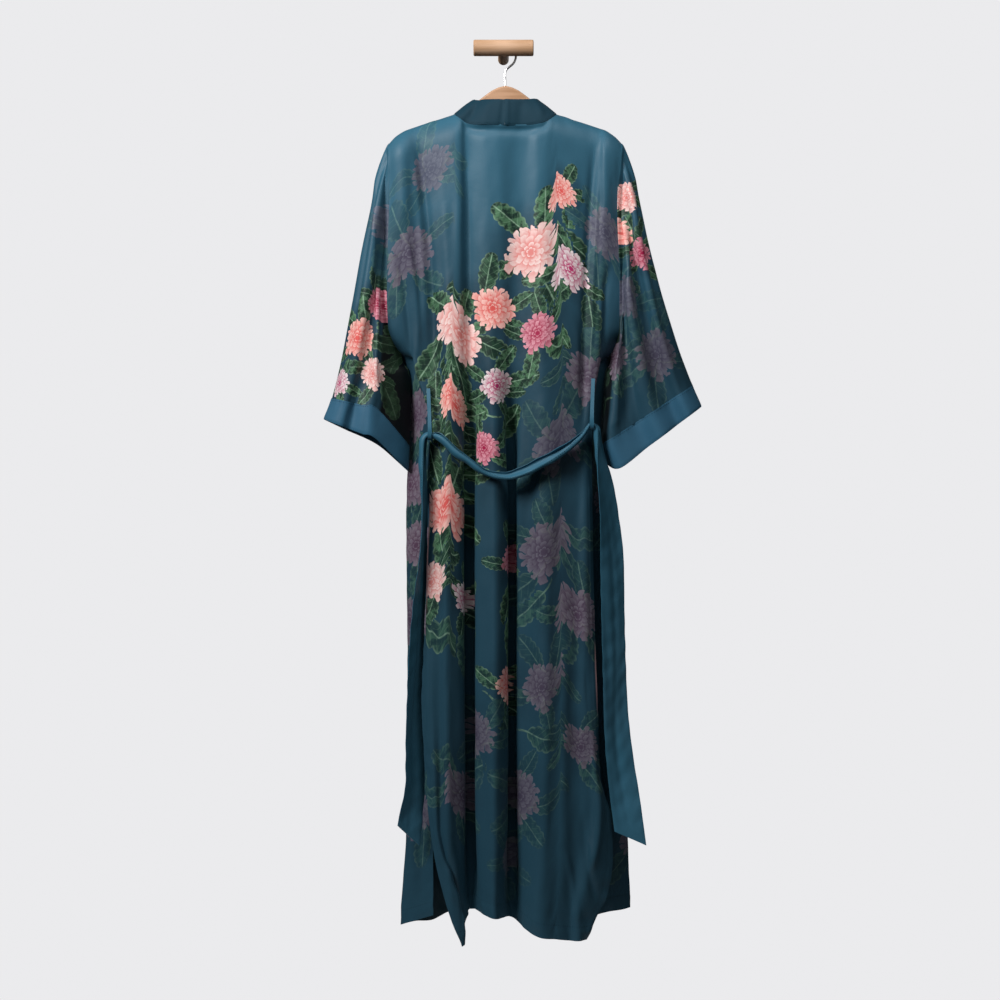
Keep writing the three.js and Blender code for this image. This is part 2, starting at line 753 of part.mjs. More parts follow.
// From a point on the neck seam to the band's free edge, at full width.
function bandReach(seam, side, onFront) {
  const share = Math.min(1, Math.abs(seam.x - CENTRE_X) / NECK_HALF);
  if (!onFront) {
    const free = new THREE.Vector3(
      lerp(CENTRE_X, seam.x, BAND_TAPER),
      HANG_Y - BAND_DEPTH * Math.sqrt(1 - share * share),
      -BAND_STAND + BAND_END_DROP * share * share,
    );
    return free.sub(seam);
  }
  const down = ease(...BAND_TURN, -seam.z);
  const [across, up] = BAND_SHOULDER;
  const reach = new THREE.Vector3(-side * lerp(across, BAND_WIDTH, down), 2 * down, lerp(-up, 0, down));
  return reach.setLength(BAND_WIDTH);
}

for (const [name, side] of [['left', -1], ['right', 1]]) {
  const seams = [];
  for (let j = CENTRE_COLUMN; j !== NECK_COLUMNS[name]; j += side) seams.push([backGrid[0][j], false]);
  const front = frontGrids[name];
  front.forEach((row) => seams.push([row[LAST_FRONT], true]));
  const grid = seams.map(([seam, onFront], i) => {
    const reach = bandReach(seam, side, onFront);
    const start = seam.clone().addScaledVector(reach.clone().normalize(), BAND_GAP);
    if (i === 0) start.x += (side * SEAM) / 2;
    return [0, 0.5, 1].map((share) => start.clone().addScaledVector(reach, share));
  });
  add('neckband_' + name, wall(grid, gridNormals(grid, false), BAND), SATIN);
}

// ---------------------------------------------------------------- belt and its carriers

const BELT_ACROSS = 6;
const BELT_STEPS = 26;
const ROLLED_FLAT = 0.35; // a rolled stretch of belt is pressed to this share of its depth
const RAD = Math.PI / 180;

// A strip of cloth along rows of x, y, drop, turn, width, roll. Turn is how far it stands edge-on to the
// viewer of the robe's back, and roll is how far its two edges curl together, both in degrees.
function strip(rows, faceAxis, { steps = BELT_STEPS, across = BELT_ACROSS, thickness = BAND, slant = 0 } = {}) {
  const path = new THREE.CatmullRomCurve3(rows.map(([x, y, drop]) => new THREE.Vector3(x, y, -drop)));
  const at = rows.map((row, i) => i / (rows.length - 1));
  const column = (k) => curve(at, rows.map((row) => row[k]));
  const [turn, width, roll] = [column(3), column(4), column(5)];
  const grid = [];
  for (let i = 0; i <= steps; i++) {
    const t = i / steps;
    const middle = path.getPoint(t);
    const along = path.getTangent(t);
    const face = faceAxis.clone().multiplyScalar(Math.cos(turn(t) * RAD));
    face.y += Math.sin(turn(t) * RAD);
    face.addScaledVector(along, -face.dot(along)).normalize();
    const off = along.clone().cross(face);
    const angle = Math.max(roll(t), 1) * RAD;
    const radius = width(t) / angle;
    const sag = ((ROLLED_FLAT * radius) * (1 - Math.cos(angle / 2))) / 2;
    const row = [];
    for (let j = 0; j <= across; j++) {
      const share = j / across - 0.5;
      const a = angle * share;
      const point = middle.clone().addScaledVector(face, radius * Math.sin(a));
      point.addScaledVector(off, ROLLED_FLAT * radius * (1 - Math.cos(a)) - sag);
      point.addScaledVector(along, slant * share * ease(1 - 2 / steps, 1, t));
      row.push(point);
    }
    grid.push(row);
  }
  return wall(grid, gridNormals(grid, false), thickness);
}

const ACROSS = new THREE.Vector3(1, 0, 0);
const UPRIGHT = new THREE.Vector3(0, 0, 1);

const BELT_TAIL_LEFT = [
  [-118.6, -113.5, 627, 85, 26, 250],
  [-122.5, -113.5, 627.6, 85, 26, 250],
  [-127.5, -113, 636, 82, 30, 240],
  [-129, -111, 665, 80, 36, 200],
  [-128.5, -108, 730, 80, 42, 110],
  [-129.5, -106, 826, 77, 45, 50],
  [-134, -105, 890, 70, 46, 25],
  [-139, -104, 960, 63, 46, 15],
  [-144, -104, 1050, 60, 46, 12],
  [-142, -105, 1180, 50, 46, 12],
  [-147, -106, 1225, 40, 46, 8],
  [-152, -107, 1268, 33, 46, 5],
];

const BELT_TAIL_RIGHT = [
  [141.6, -113.5, 611, 85, 26, 250],
  [145.5, -113.5, 611.6, 85, 26, 250],
  [150, -112.5, 620, 78, 30, 240],
  [153, -109, 655, 62, 36, 180],
  [161, -107, 700, 50, 42, 90],
  [169, -106, 762, 42, 45, 40],
  [174.5, -105, 830, 35, 46, 20],
  [176.5, -104, 960, 33, 46, 14],
  [178, -104, 1020, 30, 46, 12],
  [181, -104, 1085, 27, 46, 12],
  [187, -104, 1150, 18, 47, 8],
  [195, -103, 1210, 8, 48, 5],
  [203.5, -102, 1273, 5, 48, 4],
];

const BELT_BACK = [
  [-117.4, -113.5, 627, 85, 26, 250],
  [-113.5, -113.8, 626.6, 85, 26, 250],
  [-106, -116.5, 627, 82, 28, 250],
  [-96, -122, 633, 78, 34, 250],
  [-77, -126, 652, 76, 38, 250],
  [-53, -127, 669, 75, 40, 240],
  [-29, -127, 686, 72, 40, 230],
  [2, -128, 693, 64, 40, 210],
  [26, -128, 688, 58, 40, 200],
  [50, -128, 677, 54, 40, 200],
  [90, -126, 655, 54, 38, 220],
  [122, -120, 630, 70, 32, 250],
  [136.5, -113.8, 611.6, 85, 26, 250],
  [140.4, -113.5, 611, 85, 26, 250],
];

add('belt_tail_left', strip(BELT_TAIL_LEFT, ACROSS, { slant: 32 }), SATIN);
add('belt_tail_right', strip(BELT_TAIL_RIGHT, ACROSS, { slant: 30 }), SATIN);
add('belt_back', strip(BELT_BACK, UPRIGHT), SATIN);

// A carrier hangs from the side seam as a long narrow loop, with the belt lying in its bend.
const CARRIER = { width: 5, thickness: 1.6, length: 76, lift: 2.4 };

function carrier(x, seamX, beltDrop) {
  const top = beltDrop - CARRIER.length;
  // Depth of a strand that lies on the back panel, which slopes across the strand's width.
  const onPanel = (spotX, drop) => {
    let u = spotX < 0 ? 0 : BACK_FOLDS.length - 1;
    while (Math.abs(foldAcross(BACK_FOLDS, u, drop).x) > Math.abs(spotX)) u += spotX < 0 ? 0.02 : -0.02;
    return foldAcross(BACK_FOLDS, u, drop).y - CLOTH / 2 - SEAM - CARRIER.thickness / 2 - CARRIER.lift;
  };
  // Rows of x, y, drop: down the outer strand, under the belt and back up the strand on the panel.
  const rows = [
    [seamX, onPanel(seamX, top), top],
    [lerp(seamX, x, 0.5), -108, top + 24],
    [x, -122, beltDrop - 18],
    [x, -124.5, beltDrop - 4],
    [x, -122, beltDrop + 4.5],
    [x, -113.5, beltDrop + 7],
    [x, -105, beltDrop + 4.5],
    [x, onPanel(x, beltDrop - 5) - 1, beltDrop - 5],
    [lerp(seamX, x, 0.6), onPanel(lerp(seamX, x, 0.6), top + 40), top + 40],
    [seamX, onPanel(seamX, top + 12), top + 12],
  ];
  const filled = rows.map((row) => [...row, 0, CARRIER.width, 1]);
  return strip(filled, ACROSS, { steps: 30, across: 1, thickness: CARRIER.thickness });
}

add('belt_loop_left', carrier(-118, -121, 627), SATIN);
add('belt_loop_right', carrier(141, 144, 611), SATIN);

// ---------------------------------------------------------------- hanger and hook

// Drop of the hanger's top edge at a distance from its middle; its arms lie just under the shoulder line.
const HANGER_TOP = curve(
  [0, 12, 33, 50, 62, 78, 87, 106, 137, 160, 168, 173],
  [58, 61, 74.5, 88.5, 98.5, 108.6, 110.2, 116, 125.6, 134.6, 140, 147.5],
);
const HANGER_DEPTH = curve([0, 60, HANGER.reach], [36, 34, 18]); // height of the wood
const HANGER_FOOT = { reach: 0.985, slope: 0.96 }; // the lower edge stops short of the upper one

function hangerGeometry() {
  const top = [];
  const bottom = [];
  for (let i = 0; i <= HANGER.sections; i++) {
    const x = lerp(-HANGER.reach, HANGER.reach, i / HANGER.sections);
    const reach = Math.abs(x);
    const low = HANGER_TOP(reach * HANGER_FOOT.slope) + HANGER_DEPTH(reach);
    top.push(new THREE.Vector2(x, -HANGER_TOP(reach) - HANGER.bevel));
    bottom.push(new THREE.Vector2(x * HANGER_FOOT.reach, -low));
  }
  const outline = new THREE.Shape([...top, ...bottom.reverse()]);
  const geometry = new THREE.ExtrudeGeometry(outline, {
    depth: HANGER.thickness - 2 * HANGER.bevel,
    bevelEnabled: true,
    bevelThickness: HANGER.bevel,
    bevelSize: HANGER.bevel,
    bevelSegments: 2,
  });
  geometry.rotateX(Math.PI / 2);
  geometry.translate(CENTRE_X, HANG_Y + HANGER.thickness / 2 - HANGER.bevel, 0);
  return geometry;
}

add('hanger', hangerGeometry(), WOOD);

function hookGeometry() {
  const centreDrop = HOOK.arcRadius - STEM.radius - SEAM - HOOK.wire;
  const points = [
    [HOOK.shankX, HOOK.endDrop],
    [HOOK.shankX, HOOK.shankDrop],
    [HOOK.shankX, HOOK.kinkDrop + 3],
    [HOOK.shankX + HOOK.kinkShift, HOOK.kinkDrop - 2],
  ];
  for (let angle = HOOK.arcFrom; angle <= HOOK.arcTo; angle += 20) {
    const a = angle * RAD;
    points.push([HOOK.arcRadius * Math.cos(a), centreDrop - HOOK.arcRadius * Math.sin(a)]);
  }
  const path = new THREE.CatmullRomCurve3(points.map(([x, drop]) => new THREE.Vector3(x, HANG_Y, -drop)));
  const section = new THREE.Shape().absarc(0, 0, HOOK.wire, 0, 2 * Math.PI);
  return new THREE.ExtrudeGeometry(section, { steps: 38, curveSegments: 4, extrudePath: path });
}

add('hanger_hook', hookGeometry(), STEEL);

// ---------------------------------------------------------------- wall peg

function barGeometry() {
  const half = BAR.length / 2;
  const profile = [
    [0, -half],
    [BAR.radius - BAR.bevel, -half],
    [BAR.radius, -half + BAR.bevel],
    [BAR.radius, half - BAR.bevel],
    [BAR.radius - BAR.bevel, half],
    [0, half],
  ].map(([r, x]) => new THREE.Vector2(r, x));
  const geometry = new THREE.LatheGeometry(profile, 32);
  geometry.rotateZ(Math.PI / 2);
  geometry.translate(0, BAR.y, 0);
  return geometry;
}

function solidOf(geometry) {
  const bare = geometry.clone();
  bare.deleteAttribute('normal');
  bare.deleteAttribute('uv');
  const merged = mergeVertices(bare, 1e-4);
  return new wasm.Manifold(
    new wasm.Mesh({
      numProp: 3,
      vertProperties: merged.attributes.position.array,
      triVerts: new Uint32Array(merged.index.array),
    }),
  );
}

function geometryOf(solid) {
  const mesh = solid.getMesh();
  const geometry = new THREE.BufferGeometry();
  geometry.setAttribute('position', new THREE.BufferAttribute(mesh.vertProperties, 3));
  geometry.setIndex(new THREE.BufferAttribute(mesh.triVerts, 1));
  geometry.computeVertexNormals();
  return geometry;
}

// The stem ends in a saddle that fits round the bar.
function stemGeometry() {
  const length = -BAR.y;
  const stem = new THREE.CylinderGeometry(STEM.radius, STEM.radius, length, 32);
  stem.translate(0, -length / 2, 0);
  const saddle = new THREE.CylinderGeometry(BAR.radius + SEAM, BAR.radius + SEAM, BAR.length, 64);
  saddle.rotateZ(Math.PI / 2);
  saddle.translate(0, BAR.y, 0);
  return geometryOf(solidOf(stem).subtract(solidOf(saddle)));
}

add('peg_bar', barGeometry(), WOOD);
add('peg_stem', stemGeometry(), WOOD);

export default robe;
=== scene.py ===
"""Looks of a long satin kimono robe on a wooden hanger, hung from a T-shaped wall peg.

Shapes are worked out in millimetres and made in metres. X runs across the robe (wearer's left is -X), Y runs
into the wall, Z is up. "Drop" is a depth below the peg's axis, so z = -drop. The robe's back faces -Y.
"""

import math

import bpy
import numpy as np
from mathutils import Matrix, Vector


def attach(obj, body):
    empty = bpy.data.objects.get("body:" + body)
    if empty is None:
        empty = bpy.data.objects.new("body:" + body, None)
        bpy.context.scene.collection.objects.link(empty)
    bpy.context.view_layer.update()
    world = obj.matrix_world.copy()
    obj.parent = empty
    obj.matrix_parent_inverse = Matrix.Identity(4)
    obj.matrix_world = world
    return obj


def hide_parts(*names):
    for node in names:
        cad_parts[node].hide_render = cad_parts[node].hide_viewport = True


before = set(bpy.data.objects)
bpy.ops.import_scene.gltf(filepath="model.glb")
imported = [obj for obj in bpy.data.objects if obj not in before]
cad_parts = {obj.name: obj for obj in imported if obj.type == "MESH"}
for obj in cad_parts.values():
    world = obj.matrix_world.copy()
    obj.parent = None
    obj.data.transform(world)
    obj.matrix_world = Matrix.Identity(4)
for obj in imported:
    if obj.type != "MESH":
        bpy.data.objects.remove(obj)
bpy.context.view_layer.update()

# ---------------------------------------------------------------- driving sizes, mm

MM = 0.001
SEAM = 0.3
CENTRE_X = 3
HANG_Y = -66
SHOULDER_ROUND = 45
NECK_HALF = 82
NECK_DROP = 127
ARMHOLE_TOP = 157
UNDERARM = 490
SLIT_TOP = 690
BAND_WIDTH = 42

PANEL_THICK = 1.0
BAND_THICK = 2.2
BELT_THICK = 1.8
CAD_CLOTH, CAD_BAND = 2, 3  # walls in the solids, whose outer face the cloth's outer face follows
HEM_TURN = 20  # width of the stitched hem
SLIT_TURN = 7  # width of the rolled edge of the side slits

# ---------------------------------------------------------------- numbers and curves


def lerp(a, b, t):
    return a + (b - a) * t


def ease(lo, hi, value):
    t = np.clip((value - lo) / (hi - lo), 0, 1)
    return t * t * (3 - 2 * t)


def bell(distance, width):
    return np.exp(-((distance / width) ** 2))


def quarter_round(share):
    return np.sqrt(1 - (1 - np.clip(share, 0, 1)) ** 2)


class Curve:
    """Smooth curve through a short table that never swings past its own values."""

    def __init__(self, at, values):
        self.at = np.array(at, float)
        self.values = np.array(values, float)
        slope = np.diff(self.values) / np.diff(self.at)
        before, after = slope[:-1], slope[1:]
        same = before * after > 0
        inner = np.where(same, 2 * before * after / np.where(same, before + after, 1), 0)
        self.tangent = np.concatenate([slope[:1], inner, slope[-1:]])

    def __call__(self, value):
        x = np.clip(value, self.at[0], self.at[-1])
        i = np.clip(np.searchsorted(self.at, x, side="right") - 1, 0, len(self.at) - 2)
        h = self.at[i + 1] - self.at[i]
        t = (x - self.at[i]) / h
        a = (1 + 2 * t) * (1 - t) ** 2 * self.values[i]
        b = t * t * (3 - 2 * t) * self.values[i + 1]
        c = t * (1 - t) ** 2 * h * self.tangent[i]
        d = t * t * (t - 1) * h * self.tangent[i + 1]
        return a + b + c + d


def through(values, u, closed=False):
    """Rounded curve through values[0], values[1], ... at parameter u, for whole arrays at once."""
    u = np.broadcast_to(u, values.shape[1:])
    n = len(values)
    if closed:
        padded = np.concatenate([values[-1:], values, values[:2]])
    else:
        padded = np.concatenate([2 * values[:1] - values[1:2], values, 2 * values[-1:] - values[-2:-1]])
    i = np.clip(np.floor(u).astype(int), 0, n - 1 if closed else n - 2)
    t = u - i
    a, b, c, d = (np.take_along_axis(padded, (i + k)[None], 0)[0] for k in range(4))
    cubic = (3 * b - a - 3 * c + d) * t**3
    return 0.5 * (2 * b + (c - a) * t + (2 * a - 5 * b + 4 * c - d) * t**2 + cubic)


def unit(v):
    return v / np.maximum(np.linalg.norm(v, axis=-1, keepdims=True), 1e-9)


def normals_of(grid, closed=False):
    up = np.concatenate([grid[:1], grid[:-1]])
    down = np.concatenate([grid[1:], grid[-1:]])
    if closed:
        left, right = np.roll(grid, 1, axis=1), np.roll(grid, -1, axis=1)
    else:
        left = np.concatenate([grid[:, :1], grid[:, :-1]], axis=1)
        right = np.concatenate([grid[:, 1:], grid[:, -1:]], axis=1)
    return unit(np.cross(right - left, down - up))


def facing(n, way):
    """The normals, all turned over if they point away from a way to face."""
    return n * np.sign(np.sum(n * way))


def lengths(grid, axis, middle=0):
    """Arc length along an axis of a grid, counted from the entry called middle."""
    steps = np.linalg.norm(np.diff(grid, axis=axis), axis=-1)
    first = np.zeros_like(np.take(steps, [0], axis=axis))
    total = np.cumsum(np.concatenate([first, steps], axis=axis), axis=axis)
    return total - np.take(total, [middle], axis=axis)


def unevenness(s, t, size, seed):
    """Gentle uneven waves, about -1 to 1, over cloth places s and t, with a typical length in mm."""
    rng = np.random.default_rng(seed)
    total = 0
    for _ in range(7):
        angle, phase = rng.uniform(0, 2 * math.pi, 2)
        pace = 2 * math.pi / (size * rng.uniform(0.7, 1.8))
        total = total + np.sin(pace * (np.cos(angle) * s + np.sin(angle) * t) + phase)
    return total / 4


def waves(s, t, rows, seed):
    """Sum of uneven waves. Columns of a row: height, stretch along the cloth, typical length."""
    return sum(high * unevenness(s, t * stretch, size, seed + number)
               for number, (high, stretch, size) in enumerate(rows))


# ---------------------------------------------------------------- shoulder line, neck and folds

shoulder_line = Curve([0, 82, 106, 137, 163, 178, 188, 194], [78, 105, 113, 122.8, 132.6, 142.5, 153, 163])


def shoulder_drop(x):
    return shoulder_line(np.abs(x - CENTRE_X))


def neck_drop(x):
    share = np.abs(x - CENTRE_X) / NECK_HALF
    return np.where(share < 1, lerp(NECK_DROP, shoulder_line(NECK_HALF), np.minimum(share, 1) ** 5), 0)


def turned(x, drop):
    """How far the cloth has turned from the shoulder line (0) to its hanging depth (1)."""
    return quarter_round((drop - shoulder_drop(x)) / SHOULDER_ROUND)


CHEST, WAIST, THIGH, KNEE, HEM = 250, 635, 1000, 1250, 1400
STATIONS = [CHEST, UNDERARM, WAIST, THIGH, KNEE, HEM]


class Line:
    """A long fold line or edge of a panel: its place across and its depth, each a function of the drop."""

    def __init__(self, x, y):
        self.x = x
        self.y = y


def fold(xs, ys):
    return Line(Curve(STATIONS, xs), Curve(STATIONS, ys))


def edge(rows):
    drops, xs, ys = zip(*rows)
    return Line(Curve(drops, xs), Curve(drops, ys))


# Columns: drop, x, y.
BACK_EDGE_LEFT = edge([
    (157, -184, -90), (218, -184, -85), (394, -188, -86), (450, -186, -83.5), (472, -179, -78.5),
    (490, -168, -66), (503, -140, -72), (546, -127.5, -87), (634, -118, -96), (730, -118, -98),
    (826, -122.5, -101), (954, -124, -103), (1210, -121, -104), (1298, -111, -106), (1370, -94, -110),
    (1410, -81, -112), (1444, -67, -114),
])
BACK_EDGE_RIGHT = edge([
    (157, 190, -90), (250, 183, -85), (394, 187, -84), (450, 187, -80), (490, 176, -66), (506, 156, -74),
    (546, 148, -87), (618, 141.5, -96), (730, 141.5, -98), (890, 144.7, -100), (1050, 149.5, -101),
    (1178, 155, -100), (1242, 172, -98), (1306, 175, -94), (1368, 165.5, -92), (1396, 151, -94),
    (1436, 133.5, -98),
])

# Columns: name, line (x at each station, y at each station), drop of the hem.
BACK_FOLDS = [
    ("left edge", BACK_EDGE_LEFT, 1444),
    ("left roll", fold([-161, -147, -108, -115, -108, -63], [-97, -90, -101, -108, -113, -106]), 1440),
    ("left crease", fold([-134, -114, -98, -103, -100, -66], [-87, -89, -103, -110, -108, -92]), 1424),
    ("left ridge", fold([-79, -83, -85, -87, -86, -59], [-100, -108, -112, -116, -114, -80]), 1402),
    ("left valley", fold([-58, -55, -52, -51, -51, -50], [-93, -92, -82, -72, -70, -70]), 1392),
    ("centre ridge", fold([-23, -20, -16, -15, -15, -15], [-102, -108, -114, -119, -120, -120]), 1398),
    ("centre valley", fold([29, 14, 10, 11, 12, 13], [-98, -96, -82, -72, -70, -70]), 1406),
    ("right ridge", fold([57, 60, 58, 62, 60, 52], [-103, -110, -115, -119, -120, -120]), 1426),
    ("right flat", fold([85, 95, 92, 92, 90, 84], [-101, -107, -111, -112, -113, -113]), 1432),
    ("right crease", fold([146, 137, 119, 116, 120, 106], [-88, -92, -104, -106, -104, -104]), 1436),
    ("right roll", fold([165, 155, 131, 131, 150, 121], [-96, -90, -102, -111, -112, -108]), 1436),
    ("right edge", BACK_EDGE_RIGHT, 1436),
]
NECK_FROM, CENTRE_FOLD, NECK_TO = 3, 5.5, 8  # fold numbers where the neck seam starts, is halfway and ends

front_armhole_y = Curve([ARMHOLE_TOP, CHEST, 394, 450, UNDERARM], [-42, -44, -46, -51, HANG_Y])


TUCK = 70  # below the slit's top, the front has tucked in behind the back's edge after this drop


def front_side_edge(back_edge, side):
    """The front's side edge follows the back's from underarm to slit, then tucks in behind it."""
    free = edge([(SLIT_TOP, 118, -98), (SLIT_TOP + TUCK, 117, -86), (THIGH - 120, 115, -80), (HEM, 113, -74)])

    def x(drop):
        behind = -free.x(drop) if side < 0 else free.x(drop) + 20
        return lerp(back_edge.x(drop), behind, ease(SLIT_TOP, SLIT_TOP + TUCK, drop))

    def y(drop):
        low = lerp(back_edge.y(drop), free.y(drop), ease(SLIT_TOP, SLIT_TOP + TUCK, drop))
        return np.where(drop < UNDERARM, front_armhole_y(drop), low)

    return Line(x, y)


def front_centre_edge(side):
    half = edge([(105, 82, -42), (160, 79, -40), (CHEST, 74, -37), (390, 65, -33), (UNDERARM, 61, -31),
                 (760, 59, -28), (HEM, 60, -27)])
    return Line(lambda drop: CENTRE_X + side * half.x(drop), half.y)


FRONT_FOLDS = {
    "left": [
        ("side edge", front_side_edge(BACK_EDGE_LEFT, -1), 1402),
        ("side fold", edge([
            (CHEST, -165, -42), (440, -170, -42), (UNDERARM, -172, -40), (504, -172, -38), (520, -166, -38),
            (WAIST, -153, -38), (SLIT_TOP, -156, -42), (780, -158, -46), (THIGH, -155, -48),
            (KNEE, -156, -50), (HEM, -166, -48),
        ]), 1423),
        ("wall ridge", fold([-140, -138, -127, -138, -140, -144], [-33, -28, -22, -20, -19, -18]), 1424),
        ("inner valley", fold([-119, -116, -107, -114, -115, -116], [-38, -38, -40, -44, -45, -45]), 1416),
        ("front ridge", fold([-96, -90, -84, -87, -87, -87], [-32, -26, -20, -18, -17, -17]), 1408),
        ("centre edge", front_centre_edge(-1), 1402),
    ],
    "right": [
        ("side edge", front_side_edge(BACK_EDGE_RIGHT, 1), 1404),
        ("side fold", edge([
            (CHEST, 170, -42), (440, 175, -42), (UNDERARM, 174, -40), (504, 179, -38), (520, 175, -38),
            (WAIST, 164, -38), (SLIT_TOP, 165, -42), (780, 171, -46), (THIGH, 176, -48),
            (KNEE, 200, -50), (HEM, 206, -48),
        ]), 1395),
        ("wall ridge", fold([147, 144, 136, 150, 165, 170], [-33, -28, -22, -20, -19, -18]), 1403),
        ("inner valley", fold([125, 122, 114, 124, 132, 136], [-38, -38, -41, -45, -46, -46]), 1410),
        ("front ridge", fold([102, 96, 90, 95, 99, 101], [-32, -26, -20, -18, -17, -17]), 1412),
        ("centre edge", front_centre_edge(1), 1406),
    ],
}

# ---------------------------------------------------------------- body panels

TURN_END = 200  # drop where the rows stop crowding towards the shoulder line
TURN_SHARES = np.linspace(0, 1, 15) ** 2.4
LEVELS = np.concatenate([np.arange(206, 560, 6), np.arange(560, HEM, 5.6), [HEM]])
LEAN_FROM, LEAN, LEVEL_FROM = 140, 0.8, 455  # the rows slope with the shoulder and are level from a drop on
HEM_LINE_FROM = 900  # drop from which the rows bend towards the hem's own line
EDGE_ROUNDS = 5


class Panel:
    """A panel hung from the shoulder line or neck seam; faces is -1 for the back and 1 for a front."""

    def __init__(self, folds, faces, steps):
        self.lines = [line for _, line, _ in folds]
        self.hems = np.array([hem for _, _, hem in folds], float)
        self.faces = faces
        self.u = np.linspace(0, len(folds) - 1, steps * (len(folds) - 1) + 1)
        self.grid, self.drop = self.points()

    def spot(self, u, drop):
        xs = through(np.stack([line.x(drop) for line in self.lines]), u)
        ys = through(np.stack([line.y(drop) for line in self.lines]), u)
        return xs, ys

    def points(self):
        u = self.u
        hem = through(np.repeat(self.hems[:, None], len(u), 1), u)
        top = np.full(len(u), float(shoulder_line(NECK_HALF)))
        for _ in range(EDGE_ROUNDS):
            x, _ = self.spot(u, top)
            neck = neck_drop(x) if self.faces < 0 else 0 * x
            top = np.maximum(shoulder_drop(x), neck)
            on_shoulder = shoulder_drop(x) >= neck - 0.5
        lean = (top - LEAN_FROM) * LEAN
        turn = lerp(top[None], TURN_END + lean[None], TURN_SHARES[:, None])
        level = LEVELS[:, None]
        low = level + lean * (1 - ease(TURN_END, LEVEL_FROM, level))
        low += (hem - HEM) * ease(HEM_LINE_FROM, HEM, level)
        drop = np.concatenate([turn, low])
        x, y = self.spot(np.broadcast_to(u, drop.shape), drop)
        depth = turned(x, drop) * (y - HANG_Y)
        depth[0, on_shoulder] = self.faces * SEAM / 2
        return np.stack([x, HANG_Y + depth, -drop], axis=-1), drop


def crease_height(x, drop, rows):
    """Sum of soft troughs (negative) and ridges.

    Columns of a row: drop where it starts and ends, x at its start and end, how far it bows sideways, width,
    height.
    """
    total = np.zeros_like(x)
    for start, end, x_start, x_end, bow, width, height in rows:
        share = np.clip((drop - start) / (end - start), 0, 1)
        middle = lerp(x_start, x_end, share) + bow * np.sin(math.pi * share)
        inside = (drop > start) & (drop < end)
        fade = np.where(inside, np.minimum(1, np.sin(math.pi * share) * 1.8), 0)
        total += height * fade * bell(x - middle, width)
    return total


# Columns: drop at start, drop at end, x at start, x at end, bow, width, height.
BACK_CREASES = [
    (540, 1412, -54, -51, 0, 9, -20), (560, 1405, -36, -34, 0, 9, 11), (560, 1405, -3, -1, 0, 8, 9),
    (520, 1415, 12, 14, 0, 8, -20), (560, 1410, 30, 32, 0, 9, 10), (560, 1405, -73, -70, 0, 9, 8),
    (150, 520, -139, -112, 6, 7, -5.5), (150, 480, -149, -124, 5, 8, 3.5), (150, 620, 147, 128, -4, 6, -6),
    (160, 560, 158, 140, -3, 8, 3.5), (150, 700, -60, -56, 2, 6, -3.0), (150, 640, -72, -70, 0, 7, 2.5),
    (140, 560, -8, -2, 3, 10, 2.2), (145, 460, 20, 12, 3, 14, -1.4), (140, 600, 55, 62, 3, 11, 1.6),
    (160, 520, 84, 88, -2, 12, -2.2), (170, 420, 112, 108, 3, 9, 1.8), (210, 560, -98, -90, 4, 7, 2.0),
    (330, 520, -170, -150, 4, 6, -4.5), (300, 500, -158, -138, 6, 5, 3.0),
    (350, 505, 170, 160, -3, 6, -4.0), (390, 520, 158, 146, 4, 6, 3.2), (430, 560, 120, 124, 6, 6, -2.4),
    (560, 900, -100, -97, 2, 6, 2.0), (700, 1150, -75, -70, 3, 5, -2.2), (760, 1390, 34, 30, 4, 7, -2.4),
    (820, 1380, 78, 70, 5, 12, -3.0), (900, 1400, 102, 96, -4, 10, 2.4), (960, 1300, 128, 138, 5, 7, -3.0),
    (1180, 1330, 150, 138, 8, 6, 3.4), (1230, 1380, 128, 150, -6, 6, -3.2),
    (1290, 1420, 96, 118, 6, 6, 2.6), (1120, 1330, -104, -92, 4, 5, -2.6),
    (1190, 1400, -96, -78, -5, 5, 2.8), (1260, 1420, -82, -66, 4, 4, -2.6),
    (1080, 1390, -22, -18, 3, 6, 1.8), (1150, 1395, 0, 2, -2, 5, -1.8),
]
FRONT_CREASES = {
    "left": [
        (150, 620, -148, -132, 4, 8, -4), (170, 700, -110, -104, -4, 9, -3), (260, 900, -74, -70, 3, 7, -2.4),
        (720, 1390, -146, -150, 4, 7, 3), (820, 1400, -128, -132, -5, 8, -4), (900, 1380, -100, -98, 4, 8, 3),
    ],
    "right": [
        (150, 640, 152, 138, -4, 8, -4), (170, 720, 114, 108, 4, 9, -3), (260, 900, 80, 76, -3, 7, -2.4),
        (720, 1390, 156, 172, 4, 7, 3), (820, 1400, 140, 146, -5, 8, -4), (900, 1380, 110, 112, 4, 8, 3),
    ],
}


PANEL_WAVES = [(0.8, 0.22, 46), (0.3, 0.5, 17)]
NECK_TUCK = 3.4  # depth of the groove below the neck seam
HEM_PUCKERS = [(1.1, 1, 26)]
SLIT_PUCKER = 0.7  # strength of the puckers along the slits, as a share of the hem's
HEM_REACH, SLIT_REACH = 26, 20  # how far in from the edge the puckers run out
HEM_LIFT, SLIT_LIFT = 0.45, 0.5  # the turned-in cloth lifts hem and slit edge


